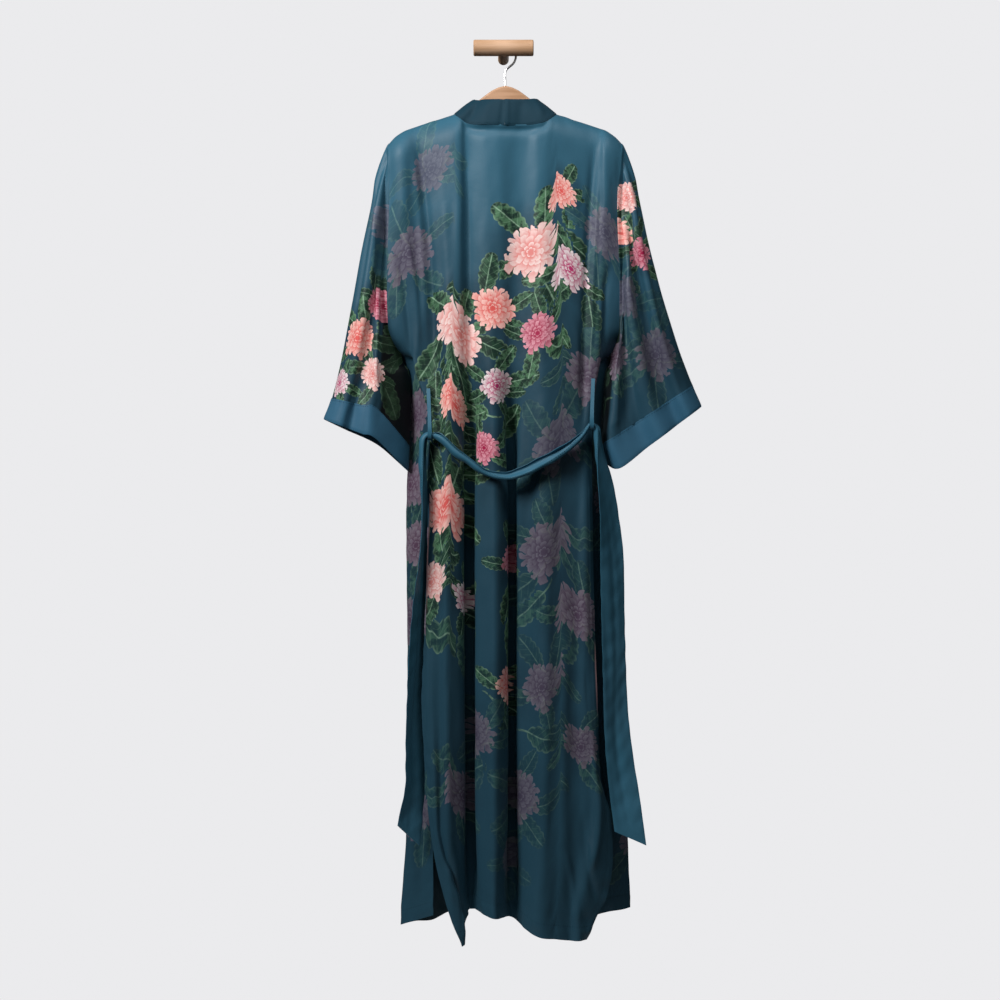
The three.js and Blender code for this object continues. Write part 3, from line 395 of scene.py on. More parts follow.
def finish_panel(panel, creases, centre, seed):
    """Crease, ruffle and hem a panel's surface; returns its grid, normals and cloth places."""
    grid, way = panel.grid, (0, panel.faces, 0)
    s = lengths(grid, 1, int(np.argmin(np.abs(panel.u - centre))))
    t = lengths(grid, 0)
    from_hem = t[-1:] - t
    near_side = np.minimum(s - s[:, :1], s[:, -1:] - s)
    free_side = ease(SLIT_TOP, SLIT_TOP + 30, panel.drop)
    sewn = ease(0, 6, t) * lerp(ease(0, 16, near_side), 1, free_side)
    height = crease_height(grid[..., 0], panel.drop, creases)
    height += waves(s, t, PANEL_WAVES, seed)
    if panel is BACK:
        in_neck = ease(0, 14, NECK_HALF - 8 - np.abs(grid[:1, :, 0] - CENTRE_X))
        height -= NECK_TUCK * in_neck * bell(t - 9, 7)
    low_side = free_side * ease(THIGH, KNEE, panel.drop)
    pucker = np.exp(-from_hem / HEM_REACH) + SLIT_PUCKER * low_side * np.exp(-near_side / SLIT_REACH)
    height += pucker * waves(s, t, HEM_PUCKERS, seed + 2)
    height += HEM_LIFT * (1 - ease(HEM_TURN - 1.5, HEM_TURN + 1.5, from_hem))
    height += SLIT_LIFT * free_side * (1 - ease(SLIT_TURN - 1, SLIT_TURN + 2, near_side))
    lift = height * sewn + (CAD_CLOTH - PANEL_THICK) / 2
    grid = grid + facing(normals_of(grid), way) * lift[..., None]
    return {"grid": grid, "normals": facing(normals_of(grid), way), "s": s, "t": t, "from_hem": from_hem,
            "near_side": near_side}


BACK = Panel(BACK_FOLDS, -1, 17)
FRONTS = {name: Panel(folds, 1, 17) for name, folds in FRONT_FOLDS.items()}

# ---------------------------------------------------------------- sleeves and their bands

SLEEVE_END = 1.12
SET_IN = 0.16  # share of the sleeve over which its rings leave the armhole's own shape
SLEEVE_COLUMNS = ("topX", "topDrop", "foldX", "foldDrop", "baseX", "baseDrop", "baseY", "hangX", "hangDrop",
                  "back", "front")
# Columns: place from armhole (0) to the band's seam (1) and the open end, then SLEEVE_COLUMNS.
SLEEVES = {
    "left": {
        "side": -1,
        "path": [
            (0, -184, 157, -190, 420, -168, 490, -66, -186, 440, 20, 20),
            (0.08, -200, 190, -199, 500, -166, 504, -64, -193, 478, 30, 24),
            (0.25, -212, 244, -199, 520, -155, 519, -62, -195, 494, 36, 28),
            (0.5, -231, 342, -198, 541, -151, 548, -62, -194, 515, 39, 31),
            (0.75, -249, 438, -197, 562, -152, 592, -62, -196, 541, 40, 32),
            (1, -277, 566, -203, 583, -154, 642, -62, -200, 597, 41, 33),
            (SLEEVE_END, -290, 600, -205, 632, -156, 683, -62, -206, 640, 42, 34),
        ],
        "folds": [(0.14, 0.72), (0.34, 1), (0.52, 0.8), (0.76, 1.04)],  # share of the way, share of the depth
    },
    "right": {
        "side": 1,
        "path": [
            (0, 190, 157, 187, 420, 176, 490, -66, 188, 440, 20, 20),
            (0.08, 206, 190, 186, 500, 175, 505, -64, 195, 478, 30, 24),
            (0.25, 219, 244, 179, 517, 166, 523, -62, 196, 498, 36, 28),
            (0.5, 242, 346, 176, 548, 164.5, 555, -62, 194, 520, 39, 31),
            (0.75, 268, 440, 174, 585, 163, 595, -62, 193, 556, 40, 32),
            (1, 305, 545, 170, 633, 161, 640, -62, 196, 612, 41, 33),
            (SLEEVE_END, 320, 579, 187, 679, 171, 670, -62, 214, 652, 42, 34),
        ],
        "folds": [(0.15, 0.78), (0.3, 0.55), (0.5, 1), (0.68, 0.66)],
    },
}
SLEEVE_SWELL = 2.5
ARMHOLE_GROOVE = 7  # the sleeve dips in behind the back's rolled edge
SLEEVE_WAVES = [(0.7, 0.3, 40)]
GATHERS = [(0.9, 0.2, 13)]
SLEEVE_GATHER_REACH, CUFF_GATHER_REACH = 14, 12  # how far from the band's seam the gathers run out
RING_CROWD = 1.3  # ring points stand closer together near the top fold
FRONT_HIGH, FRONT_FULL = 0.62, 0.8  # the front's upper fold: share of the way up, share of the depth
LOW_SHARE = 0.8  # share of the armhole above the last rows before the underarm
BACK_POINTS, BASE_POINTS, FRONT_POINTS = 64, 14, 46  # ring points from top fold to lower fold, base and on

# Columns: place at start and end, way round at start and end (0 top fold, 0.5 under the arm), width, height.
SLEEVE_CREASES = {
    "left": [
        (0, 0.75, 0.06, 0.09, 0.02, -4.5), (0.02, 0.9, 0.12, 0.15, 0.025, 3),
        (0.15, 1, 0.21, 0.24, 0.02, -3.5), (0.05, 0.7, 0.29, 0.3, 0.02, 2.5), (0.3, 1, 0.36, 0.38, 0.02, -3),
        (0.1, 0.8, 0.66, 0.64, 0.03, -3), (0.2, 0.95, 0.8, 0.78, 0.03, 3),
    ],
    "right": [
        (0, 0.8, 0.05, 0.07, 0.018, -5), (0, 0.95, 0.1, 0.12, 0.02, 3.5), (0.1, 1, 0.17, 0.2, 0.02, -5),
        (0.2, 1, 0.25, 0.29, 0.022, 3.5), (0.15, 1, 0.33, 0.36, 0.018, -4), (0.45, 1, 0.41, 0.42, 0.02, 3),
        (0.1, 0.8, 0.66, 0.64, 0.03, -3), (0.2, 0.95, 0.8, 0.78, 0.03, 3),
    ],
}


def ring_plan(fold_shares):
    """Each ring point: its share down the armhole, its place on the anchors, and whether it is in front."""
    count = len(fold_shares)
    anchor_at = Curve([0, *fold_shares, 1], range(count + 2))
    counts = (BACK_POINTS, BASE_POINTS, FRONT_POINTS)
    back, base, front = (np.linspace(0, 1, points, endpoint=False) for points in counts)
    back = back**RING_CROWD
    rise = 1 - (1 - front) ** RING_CROWD
    down = [LOW_SHARE * back, lerp(LOW_SHARE, 1, base), lerp(1, LOW_SHARE, base), LOW_SHARE * (1 - rise)]
    anchor = [anchor_at(back), count + 1 + base, count + 2 + base, count + 3 + 2 * rise]
    down = np.concatenate(down)
    return down, np.concatenate(anchor), np.arange(len(down)) >= BACK_POINTS + BASE_POINTS


def armhole_points(name, side, down, in_front):
    """Points on the body's own armhole edge, moved clear of it."""

    def on(rim):
        z = lerp(rim[0, 2], -UNDERARM, down)
        x, y = (np.interp(-z, -rim[:, 2], rim[:, k]) for k in range(2))
        return np.stack([x, y, z], axis=-1)

    points = np.where(in_front[:, None], on(FRONTS[name].grid[:, 0]), on(BACK.grid[:, 0 if side < 0 else -1]))
    points[:, 0] += side * SEAM
    points[:, 2] -= SEAM * ease(0.9, 1, down)
    return points


def sleeve_anchors(sleeve, place):
    p = {name: Curve([row[0] for row in sleeve["path"]], [row[k + 1] for row in sleeve["path"]])(place)
         for k, name in enumerate(SLEEVE_COLUMNS)}

    def at(name, y):
        return np.stack([p[name + "X"], y + 0 * place, -p[name + "Drop"]], axis=-1)

    top, lower = at("top", HANG_Y), at("fold", HANG_Y - p["back"])
    long_folds = []
    for share, depth in sleeve["folds"]:
        point = lerp(top, lower, share)
        point[:, 1] = HANG_Y - p["back"] * depth
        long_folds.append(point)
    front_low = at("hang", HANG_Y + p["front"])
    front_high = lerp(front_low, top, FRONT_HIGH)
    front_high[:, 1] = HANG_Y + FRONT_FULL * p["front"]
    return np.stack([top, *long_folds, lower, at("base", p["baseY"]), front_low, front_high])


def sleeve_rings(name, places):
    """Rings of a sleeve at the given places: grid[place][way round]."""
    sleeve = SLEEVES[name]
    down, anchor, in_front = ring_plan([share for share, _ in sleeve["folds"]])
    anchors = sleeve_anchors(sleeve, places)
    own = [through(np.repeat(anchors[:, :, None, k], len(anchor), 2), anchor, closed=True) for k in range(3)]
    start = armhole_points(name, sleeve["side"], down, in_front)
    grid = lerp(start[None], np.stack(own, axis=-1), ease(0, SET_IN, places)[:, None, None])
    swell = SLEEVE_SWELL * ease(0, 0.05, places) * (1 - ease(0.1, 0.3, places))
    grid[..., 0] += sleeve["side"] * swell[:, None] * (1 - ease(0.96, 1, down))
    return grid


def sleeve_places(name, ring):
    """Places on the sleeve's flat cut: across from the top fold, and along the direction of that fold."""
    first, *_, last = SLEEVES[name]["path"]
    axis = unit(np.array([last[1] - first[1], 0.0, first[2] - last[2]]))
    start = np.array([first[1], HANG_Y, -first[2]])
    t = (ring - start) @ axis
    steps = np.diff(ring, axis=1)
    across = np.sqrt(np.maximum(np.sum(steps**2, axis=-1) - (steps @ axis) ** 2, 0))
    s = np.cumsum(np.concatenate([np.zeros_like(across[:, :1]), across], axis=1), axis=1)
    return s, t


def finish_sleeve(name, places, creases, seed, thickness, cad_thickness, is_band=False):
    grid = sleeve_rings(name, places)
    outward = grid - grid.mean(axis=1, keepdims=True)
    s_closed, t_closed = sleeve_places(name, np.concatenate([grid, grid[:, :1]], axis=1))
    around = (s_closed / s_closed[:, -1:])[:, :-1]
    s, t = s_closed[:, :-1], lengths(grid, 0)
    place = places[:, None]
    height = waves(s, t, SLEEVE_WAVES, seed)
    behind = ease(0.03, 0.09, around) * (1 - ease(0.3, 0.42, around))
    height -= ARMHOLE_GROOVE * bell(place - 0.045, 0.045) * behind
    for start, end, a_start, a_end, width, depth in creases:
        share = np.clip((place - start) / (end - start), 0, 1)
        gap = (around - lerp(a_start, a_end, share) + 0.5) % 1 - 0.5
        fade = np.where((place > start) & (place < end), np.minimum(1, np.sin(math.pi * share) * 2), 0)
        height += depth * fade * bell(gap, width)
    from_seam = t / CUFF_GATHER_REACH if is_band else np.abs(t - t[-1:]) / SLEEVE_GATHER_REACH
    height += np.exp(-from_seam) * waves(s, t, GATHERS, 40 + seed)
    set_in = 1 if is_band else ease(0, 12, t)
    lift = height * set_in + (cad_thickness - thickness) / 2
    corners = np.cumsum([BACK_POINTS, BASE_POINTS, BASE_POINTS])
    lower_fold, base, front_low = (around[:, k:k + 1] for k in corners)
    # Painted shade: the underside, from just past the lower fold round to the front, is marked dark, which
    # darkens the ground and leaves there as the shade under the arm would.
    painted_underside_shade = ease(lower_fold, lower_fold + 0.025, around) * (1 - ease(base, front_low, around))
    centre = grid - outward
    grid = grid + facing(normals_of(grid, closed=True), outward) * lift[..., None]
    return {"grid": grid, "normals": facing(normals_of(grid, closed=True), grid - centre), "s": s_closed,
            "t": t_closed, "from_end": t[-1:] - t, "dark": np.concatenate([painted_underside_shade, painted_underside_shade[:, :1]], axis=1)}


# ---------------------------------------------------------------- neckband

BAND_STAND = 84  # drop of the neckband's free edge at the centre back
BAND_LEAN, BAND_DEPTH = 0.61, 28  # that edge's reach as a share of the seam's, and its depth behind the hook
BAND_SHOULDER = (32, -23)
BAND_DOWN = (105, 195)  # drops between which the band turns from the shoulder to the front
BAND_LAP = 1.6  # the band's lower edge lies over the panel's
BAND_WAVES = [(0.5, 1, 60)]
FRONT_PUFF, BACK_PUFF, BACK_STAND = 0.7, 0.9, 1.1  # how far the double cloth swells, and stands off behind
BACK_OF_NECK = (90, 150)  # length from the centre back over which the band changes from one to the other


def band_grid(side):
    """Rows from the centre back over the shoulder and down the front; columns from seam to free edge."""
    neck_end = NECK_FROM if side < 0 else NECK_TO
    start, end = (int(np.argmin(np.abs(BACK.u - at))) for at in (CENTRE_FOLD, neck_end))
    neck = BACK.grid[0, start:end:side]
    seam = np.concatenate([neck, FRONTS["left" if side < 0 else "right"].grid[:, -1]])
    on_front = np.arange(len(seam)) >= len(neck)
    share = np.minimum(1, np.abs(seam[:, 0] - CENTRE_X) / NECK_HALF)
    free = np.stack([lerp(CENTRE_X, seam[:, 0], BAND_LEAN), HANG_Y - BAND_DEPTH * np.sqrt(1 - share**2),
                     -BAND_STAND + 2 * share**2], axis=-1)
    down = ease(*BAND_DOWN, -seam[:, 2])
    across, up = BAND_SHOULDER
    reach = np.stack([-side * lerp(across, BAND_WIDTH, down), 2 * down, lerp(-up, 0, down)], axis=-1)
    reach = np.where(on_front[:, None], unit(reach) * BAND_WIDTH, free - seam)
    # The change from neck to front is eased over a few rows, as a folded band turns.
    kernel = np.hanning(7)[1:-1]
    padded = np.concatenate([reach[:1].repeat(2, 0), reach, reach[-1:].repeat(2, 0)])
    eased = np.stack([np.convolve(padded[:, k], kernel / kernel.sum(), "valid") for k in range(3)], axis=-1)
    begin = seam - unit(reach) * BAND_LAP
    begin[0, 0] += side * SEAM / 2
    width = np.linspace(0, 1, 15)
    return begin[:, None] + eased[:, None] * width[None, :, None], width


# Soft dents of the band behind the neck. Columns as in crease_height, but from across the band (start, end)
# and along it from the centre back (at start, at end).
BAND_CREASES = {
    "left": [(-6, 50, 7, 2, 0, 3.5, -1.6), (-8, 46, 34, 24, 3, 8, 1.6), (4, 60, 58, 40, 0, 6, -2.0)],
    "right": [(-6, 50, 3, 5, 0, 3, 1.3), (-8, 46, 26, 30, -3, 8, -1.6), (4, 60, 62, 46, 0, 7, 1.8)],
}

# ---------------------------------------------------------------- belt and carriers

ROLLED_FLAT = 0.5  # a curled belt is pressed to this share of a round curl's depth
BELT_ACROSS = np.linspace(-0.5, 0.5, 19)
BELT_WAVES = [(1.5, 7 / 30, 40), (0.8, 0.8, 26)]
BELT_RIDGE, RIDGE_WIDTH, RIDGE_SWAY, SWAY_PACE = 1.2, 5, 3, 70  # a faint ridge winds along its middle
BELT_STILL = 0.05  # share of its length over which the belt's ends lie without ripples


def strip_grid(rows, face_axis, steps, across=BELT_ACROSS, slant=0):
    """Strip of cloth. Columns of a row: x, y, drop, turn (edge-on), width, roll (how far its edges curl)."""
    rows = np.array(rows, float)
    knots = rows[:, :3] * [1, 1, -1]
    t = np.linspace(0, 1, steps + 1)
    u = t * (len(rows) - 1)
    middle = np.stack([through(np.repeat(knots[:, None, k], len(u), 1), u) for k in range(3)], axis=-1)
    along = unit(np.gradient(middle, axis=0))
    at = np.arange(len(rows))
    turn, width, roll = (Curve(at, rows[:, k])(u) for k in (3, 4, 5))
    turn = np.radians(turn)
    face = np.array(face_axis, float)[None] * np.cos(turn)[:, None]
    face[:, 1] += np.sin(turn)
    face = unit(face - along * np.sum(face * along, axis=1, keepdims=True))
    off = np.cross(along, face)
    angle = np.radians(np.maximum(roll, 1))
    radius = width / angle
    sag = ROLLED_FLAT * radius * (1 - np.cos(angle / 2)) / 2
    a = angle[:, None] * across[None]
    curl = ROLLED_FLAT * radius[:, None] * (1 - np.cos(a)) - sag[:, None]
    slide = slant * across[None] * ease(0.9, 1, t)[:, None]
    grid = middle[:, None] + face[:, None] * (radius[:, None] * np.sin(a))[..., None]
    return grid + off[:, None] * curl[..., None] + along[:, None] * slide[..., None], t


BELT_TAIL_LEFT = [
    (-118.6, -113.5, 627, 85, 26, 250), (-122.5, -113.5, 627.6, 85, 26, 250),
    (-127.5, -113, 636, 82, 30, 240),
    (-129, -111, 665, 80, 36, 200), (-128.5, -108, 730, 80, 42, 110), (-129.5, -106, 826, 77, 45, 50),
    (-134, -105, 890, 70, 46, 25), (-139, -104, 960, 63, 46, 15), (-144, -104, 1050, 60, 46, 12),
    (-142, -105, 1180, 50, 46, 12), (-147, -106, 1225, 40, 46, 8), (-152, -107, 1268, 33, 46, 5),
]
BELT_TAIL_RIGHT = [
    (141.6, -113.5, 611, 85, 26, 250), (145.5, -113.5, 611.6, 85, 26, 250), (150, -112.5, 620, 78, 30, 240),
    (153, -109, 655, 62, 36, 180), (161, -107, 700, 50, 42, 90), (169, -106, 762, 42, 45, 40),
    (174.5, -105, 830, 35, 46, 20), (176.5, -104, 960, 33, 46, 14), (178, -104, 1020, 30, 46, 12),
    (181, -104, 1085, 27, 46, 12), (187, -104, 1150, 18, 47, 8), (195, -103, 1210, 8, 48, 5),
    (203.5, -102, 1273, 5, 48, 4),
]
BELT_BACK = [
    (-117.4, -113.5, 627, 85, 28, 270), (-113.5, -113.8, 626.6, 85, 28, 270),
    (-106, -116.5, 627, 82, 32, 285),
    (-96, -122, 633, 78, 40, 290), (-77, -126, 652, 76, 44, 290), (-53, -127, 669, 75, 46, 275),
    (-29, -127, 686, 72, 46, 265), (2, -128, 693, 64, 46, 240), (26, -128, 688, 58, 46, 230),
    (50, -128, 677, 54, 46, 230), (90, -126, 655, 54, 45, 260), (122, -120, 630, 70, 37, 290),
    (136.5, -113.8, 611.6, 85, 28, 270), (140.4, -113.5, 611, 85, 28, 270),
]
CARRIER_WIDTH, CARRIER_THICK, CARRIER_LENGTH, CARRIER_LIFT = 5.8, 1.6, 76, 2.4
# Columns: y, drop below the belt's middle.
CARRIER_BEND = [(-122, -18), (-124.5, -4), (-122, 4.5), (-113.5, 7), (-105, 4.5)]
CARRIER_CLOTH = 1.2


def carrier_rows(x, seam_x, belt_drop):
    """A carrier hangs from the side seam as a long narrow loop, with the belt lying in its bend."""
    top = belt_drop - CARRIER_LENGTH

    def on_panel(spot_x, drop):
        xs, ys = BACK.spot(BACK.u, np.full(len(BACK.u), float(drop)))
        return ys[np.argmin(np.abs(xs - spot_x))] - CAD_CLOTH / 2 - SEAM - CARRIER_THICK / 2 - CARRIER_LIFT

    near_seam = lerp(seam_x, x, 0.6)
    rows = [
        (seam_x, on_panel(seam_x, top), top),
        (lerp(seam_x, x, 0.5), -108, top + 24),
        *((x, y, belt_drop + below) for y, below in CARRIER_BEND),
        (x, on_panel(x, belt_drop - 5) - 1, belt_drop - 5),
        (near_seam, on_panel(near_seam, top + 40), top + 40),
        (seam_x, on_panel(seam_x, top + 12), top + 12),
    ]
    return [(*row, 0, CARRIER_WIDTH, 1) for row in rows]


# ---------------------------------------------------------------- printed blooms and leaves

# Colours of a bloom: petal tips, petal hearts.
PALETTES = {
    "coral": ((0.93, 0.62, 0.55), (0.72, 0.10, 0.09)),
    "blush": ((0.92, 0.75, 0.71), (0.72, 0.22, 0.20)),
    "ivory": ((0.86, 0.84, 0.82), (0.45, 0.03, 0.14)),
    "rose": ((0.80, 0.38, 0.45), (0.36, 0.01, 0.06)),
    "mauve": ((0.23, 0.19, 0.235), (0.095, 0.045, 0.08)),
}
# Columns: across the piece from its centre line and down it (mm), radius, turn (degrees), palette, strength.
BLOOMS = {
    "back_panel": [
        (96, 142, 28, 20, "coral", 1), (46, 206, 50, 75, "blush", 1), (112, 262, 36, 10, "ivory", 1),
        (-14, 296, 40, 140, "coral", 1), (62, 338, 34, 40, "rose", 1), (-74, 352, 47, 200, "blush", 1),
        (-8, 420, 32, 100, "ivory", 1), (-96, 470, 34, 60, "coral", 1), (-36, 520, 28, 15, "rose", 1),
        (-128, 90, 40, 0, "mauve", 0.5), (-160, 216, 46, 50, "mauve", 0.62),
        (172, 180, 42, 20, "mauve", 0.55),
        (150, 420, 44, 80, "mauve", 0.7), (110, 530, 46, 20, "mauve", 0.5), (-132, 640, 46, 0, "coral", 0.95),
        (-170, 748, 34, 60, "blush", 0.9), (-104, 772, 30, 130, "ivory", 0.9), (16, 700, 30, 90, "rose", 0.8),
        (98, 690, 50, 20, "mauve", 0.6), (158, 800, 44, 60, "mauve", 0.7), (100, 905, 42, 10, "mauve", 0.55),
        (4, 900, 32, 20, "coral", 0.8), (-60, 980, 40, 30, "mauve", 0.5), (170, 1010, 36, 70, "mauve", 0.6),
        (-120, 1090, 46, 70, "mauve", 0.6), (60, 1080, 46, 20, "mauve", 0.5),
        (20, 1180, 34, 20, "mauve", 0.4),
    ],
    "front_left": [
        (60, 260, 44, 0, "blush", 0.9), (92, 350, 36, 40, "coral", 0.9), (-74, 470, 42, 10, "mauve", 0.8),
        (-66, 580, 44, 60, "mauve", 0.9), (-80, 680, 40, 30, "mauve", 0.9), (44, 650, 46, 60, "ivory", 0.9),
        (90, 760, 40, 90, "rose", 0.9), (-60, 800, 44, 70, "mauve", 0.7), (60, 930, 46, 20, "mauve", 0.6),
        (20, 1090, 44, 10, "coral", 0.8), (80, 1180, 46, 100, "blush", 0.8),
        (-70, 1120, 40, 80, "mauve", 0.5),
    ],
    "front_right": [
        (56, 330, 46, 0, "coral", 0.9), (20, 430, 38, 40, "ivory", 0.9), (-60, 600, 46, 10, "mauve", 0.6),
        (60, 610, 40, 30, "blush", 0.9), (90, 840, 46, 60, "mauve", 0.7), (30, 900, 44, 70, "rose", 0.9),
        (70, 1010, 48, 20, "coral", 0.9), (-50, 1160, 44, 10, "mauve", 0.5),
        (84, 1220, 42, 100, "blush", 0.8),
    ],
    "sleeve_left": [
        (76, 254, 26, 10, "rose", 1), (48, 316, 36, 60, "coral", 1), (90, 366, 28, 0, "blush", 1),
        (28, 392, 24, 30, "ivory", 1), (62, 120, 42, 30, "mauve", 0.45), (190, 150, 40, 30, "mauve", 0.5),
        (250, 70, 44, 20, "mauve", 0.7), (300, 250, 40, 60, "coral", 0.6), (240, 330, 44, 20, "blush", 0.6),
    ],
    "sleeve_right": [
        (38, 84, 26, 20, "blush", 1), (78, 132, 34, 70, "coral", 1), (36, 178, 28, 20, "rose", 1),
        (96, 236, 40, 40, "mauve", 0.5), (60, 340, 44, 10, "mauve", 0.5), (150, 320, 40, 10, "mauve", 0.75),
        (230, 120, 44, 20, "blush", 0.6), (300, 250, 46, 20, "coral", 0.6), (330, 380, 40, 70, "ivory", 0.6),
    ],
}
LEAVES_EACH = 5
LEAF_REACH = 1.18  # distance of a leaf's middle from the bloom's, in bloom radii
LEAF_HALF = 0.62  # half length of the shortest leaves round a bloom, in bloom radii
LEAF_SLIM = 1.9  # a leaf's length against its width
GOLDEN = 137.5
COVERED = 1.03  # a motif's own reach, in its sizes
# More leaves of the larger sprays. Columns: across, down, half length, turn, strength.
LEAF_SPRAYS = {
    "back_panel": [
        (-96, 416, 34, 150, 1), (-128, 440, 30, 100, 1), (-60, 456, 36, 200, 1), (-120, 530, 38, 40, 1),
        (-84, 560, 34, 120, 1), (-140, 490, 32, 170, 1), (-150, 560, 36, 80, 1), (-54, 566, 30, 170, 1),
        (-100, 600, 32, 20, 1), (20, 480, 34, -60, 1), (40, 410, 30, -10, 0.95), (150, 320, 34, 80, 0.8),
        (4, 770, 36, 110, 0.95), (10, 830, 34, 80, 0.95), (-4, 960, 38, 60, 0.7), (-160, 840, 44, 40, 0.6),
        (-110, 860, 40, 90, 0.5), (110, 990, 40, 20, 0.4), (70, 780, 40, 140, 0.4),
    ],
    "sleeve_left": [
        (60, 212, 24, 80, 0.9), (130, 330, 30, 100, 0.9), (130, 400, 34, 60, 0.8), (150, 250, 34, 20, 0.8),
        (120, 190, 34, 140, 0.8), (170, 330, 34, 70, 0.8), (126, 120, 30, 70, 0.8), (160, 60, 34, 20, 0.8),
    ],
    "sleeve_right": [
        (110, 90, 26, 40, 0.8), (70, 226, 26, 100, 0.6), (190, 200, 34, 40, 0.8), (180, 330, 36, 90, 0.8),
        (200, 90, 34, 140, 0.8), (220, 400, 36, 20, 0.8),
    ],
}


def leaf_rows(name):
    rows = list(LEAF_SPRAYS.get(name, []))
    for number, (s, t, radius, turn, palette, strength) in enumerate(BLOOMS[name]):
        ink = strength * (0.45 if palette == "mauve" else 0.95)
        for k in range(LEAVES_EACH):
            angle = math.radians(turn + GOLDEN * (k + 1) + 23 * number)
            reach = radius * (LEAF_REACH + 0.14 * ((k * 7 + number) % 3))
            half = radius * (LEAF_HALF + 0.1 * ((k + number) % 3))
            lie = math.degrees(angle) + 18 * ((k % 3) - 1)
            rows.append((s + reach * math.cos(angle), t + reach * math.sin(angle), half, lie, ink))
    return rows


def motif_places(s, t, rows, slim=1.0):
    """For each face (last axis holds its corners), places in the frame of one motif, and that motif's row.

    The motif is the last in the table that covers the face, or else the nearest.
    """
    def in_frame(s, t, cs, ct, size, turn):
        c, n = np.cos(np.radians(turn)), np.sin(np.radians(turn))
        return ((s - cs) * c + (t - ct) * n) / size, (-(s - cs) * n + (t - ct) * c) / size

    middle_s, middle_t = s.mean(axis=1), t.mean(axis=1)
    best = np.full(len(middle_s), 1e9)
    chosen = np.zeros(len(middle_s), int)
    for number, row in enumerate(rows):
        x, y = in_frame(middle_s, middle_t, *row)
        distance = np.hypot(x + 0.2 * (slim - 1), y * slim)
        closer = (distance < best) | (distance < COVERED)
        best[closer] = np.where(distance[closer] < COVERED, 0, distance[closer])
        chosen[closer] = number
    return in_frame(s, t, *np.array(rows, float)[chosen].T[:, :, None]), chosen


# ---------------------------------------------------------------- meshes


def placed(name, data):
    """An object made from mesh, light or camera data, put in the scene."""
    made = bpy.data.objects.new(name, data)
    bpy.context.collection.objects.link(made)
    return made


def shell_faces(rows, cols, closed):
    """Row, column and side (0 outer, 1 inner) of each face's corners: outer faces, inner faces, rims."""
    i, j = (index.ravel() for index in np.mgrid[:rows - 1, :cols if closed else cols - 1])
    r, c = np.stack([i, i + 1, i + 1, i], axis=1), np.stack([j, j, j + 1, j + 1], axis=1)
    faces = [(r, c, 0 * r), (r[:, ::-1], c[:, ::-1], 0 * r + 1)]
    around, down = np.arange(j.max() + 2), np.arange(rows)
    rims = [(0 * around, around), (0 * around + rows - 1, around[::-1])]
    if not closed:
        rims += [(down[::-1], 0 * down), (down, 0 * down + cols - 1)]
    for rim in rims:
        r, c = (np.stack([path[:-1], path[1:], path[1:], path[:-1]], axis=1) for path in rim)
        faces.append((r, c, 0 * r + [0, 0, 1, 1]))
    return (np.concatenate(parts) for parts in zip(*faces))


def shell(name, data, thickness, materials, closed=False, rounded=1):
    """Thin closed shell round a grid, with cloth places; a second material goes on the inner faces."""
    grid, n = data["grid"], data["normals"]
    rows, cols = grid.shape[:2]
    half = (thickness / 2 * rounded * np.ones((rows, cols)))[..., None]
    points = np.concatenate([(grid + n * half).reshape(-1, 3), (grid - n * half).reshape(-1, 3)]) * MM
    r, c, inner = shell_faces(rows, cols, closed)
    faces = (inner * rows + r) * cols + c % cols
    outer = faces[~inner.any(axis=1)]
    a, b, d = points[outer[:, 0]], points[outer[:, 1]], points[outer[:, 3]]
    if np.sum(np.cross(b - a, d - a) * n.reshape(-1, 3)[outer[:, 0]]) < 0:
        faces, r, c = faces[:, ::-1], r[:, ::-1], c[:, ::-1]
    mesh = bpy.data.meshes.new(name)
    mesh.vertices.add(len(points))
    mesh.vertices.foreach_set("co", points.ravel())
    mesh.loops.add(faces.size)
    mesh.loops.foreach_set("vertex_index", faces.ravel())
    mesh.polygons.add(len(faces))
    mesh.polygons.foreach_set("loop_start", np.arange(0, faces.size, 4))
    for material in materials:
        mesh.materials.append(material)
    if len(materials) > 1:
        mesh.polygons.foreach_set("material_index", inner.all(axis=1).astype(int))
    mesh.update(calc_edges=True)
    mesh.polygons.foreach_set("use_smooth", np.ones(len(faces), bool))
    mesh.set_sharp_from_angle(angle=math.radians(55))
    s, t = data["s"][r, c % data["s"].shape[1]], data["t"][r, c % data["t"].shape[1]]
    set_places(mesh, "cloth", s * MM, t * MM)
    if name in BLOOMS:
        # dark is the painted shade of the sleeves' undersides.
        lay_print(mesh, name, s, t, data["dark"][r, c] if "dark" in data else 0)
    if "edge" in data:
        values = data["edge"][r, c % cols]
        set_colour(mesh, "turned_edge", np.stack([values, values, values, np.ones_like(values)], axis=-1))
    return placed(name + "_cloth", mesh)


def lay_print(mesh, name, s, t, dark):
    """Give each face its place in the bloom and the leaf chosen for it, their inks, and the painted shade
    given as dark.
    """
    rows = BLOOMS[name]
    (x, y), chosen = motif_places(s, t, [row[:4] for row in rows])
    set_places(mesh, "bloom", x, y)
    for layer, part in (("bloom_tip", 0), ("bloom_heart", 1)):
        inks = np.array([(*PALETTES[row[4]][part], row[5]) for row in rows])
        set_colour(mesh, layer, np.repeat(inks[chosen][:, None], 4, axis=1))
    leaves = leaf_rows(name)
    (x, y), chosen = motif_places(s, t, [row[:4] for row in leaves], slim=LEAF_SLIM)
    set_places(mesh, "leaf", x, y)
    inks = np.array([(row[4], (k * 0.37) % 1, 0, 1) for k, row in enumerate(leaves)])
    inks = np.repeat(inks[chosen][:, None], 4, axis=1)
    # The third channel carries the painted shade.
    inks[..., 2] = dark
    set_colour(mesh, "leaf_ink_and_painted_shade", inks)


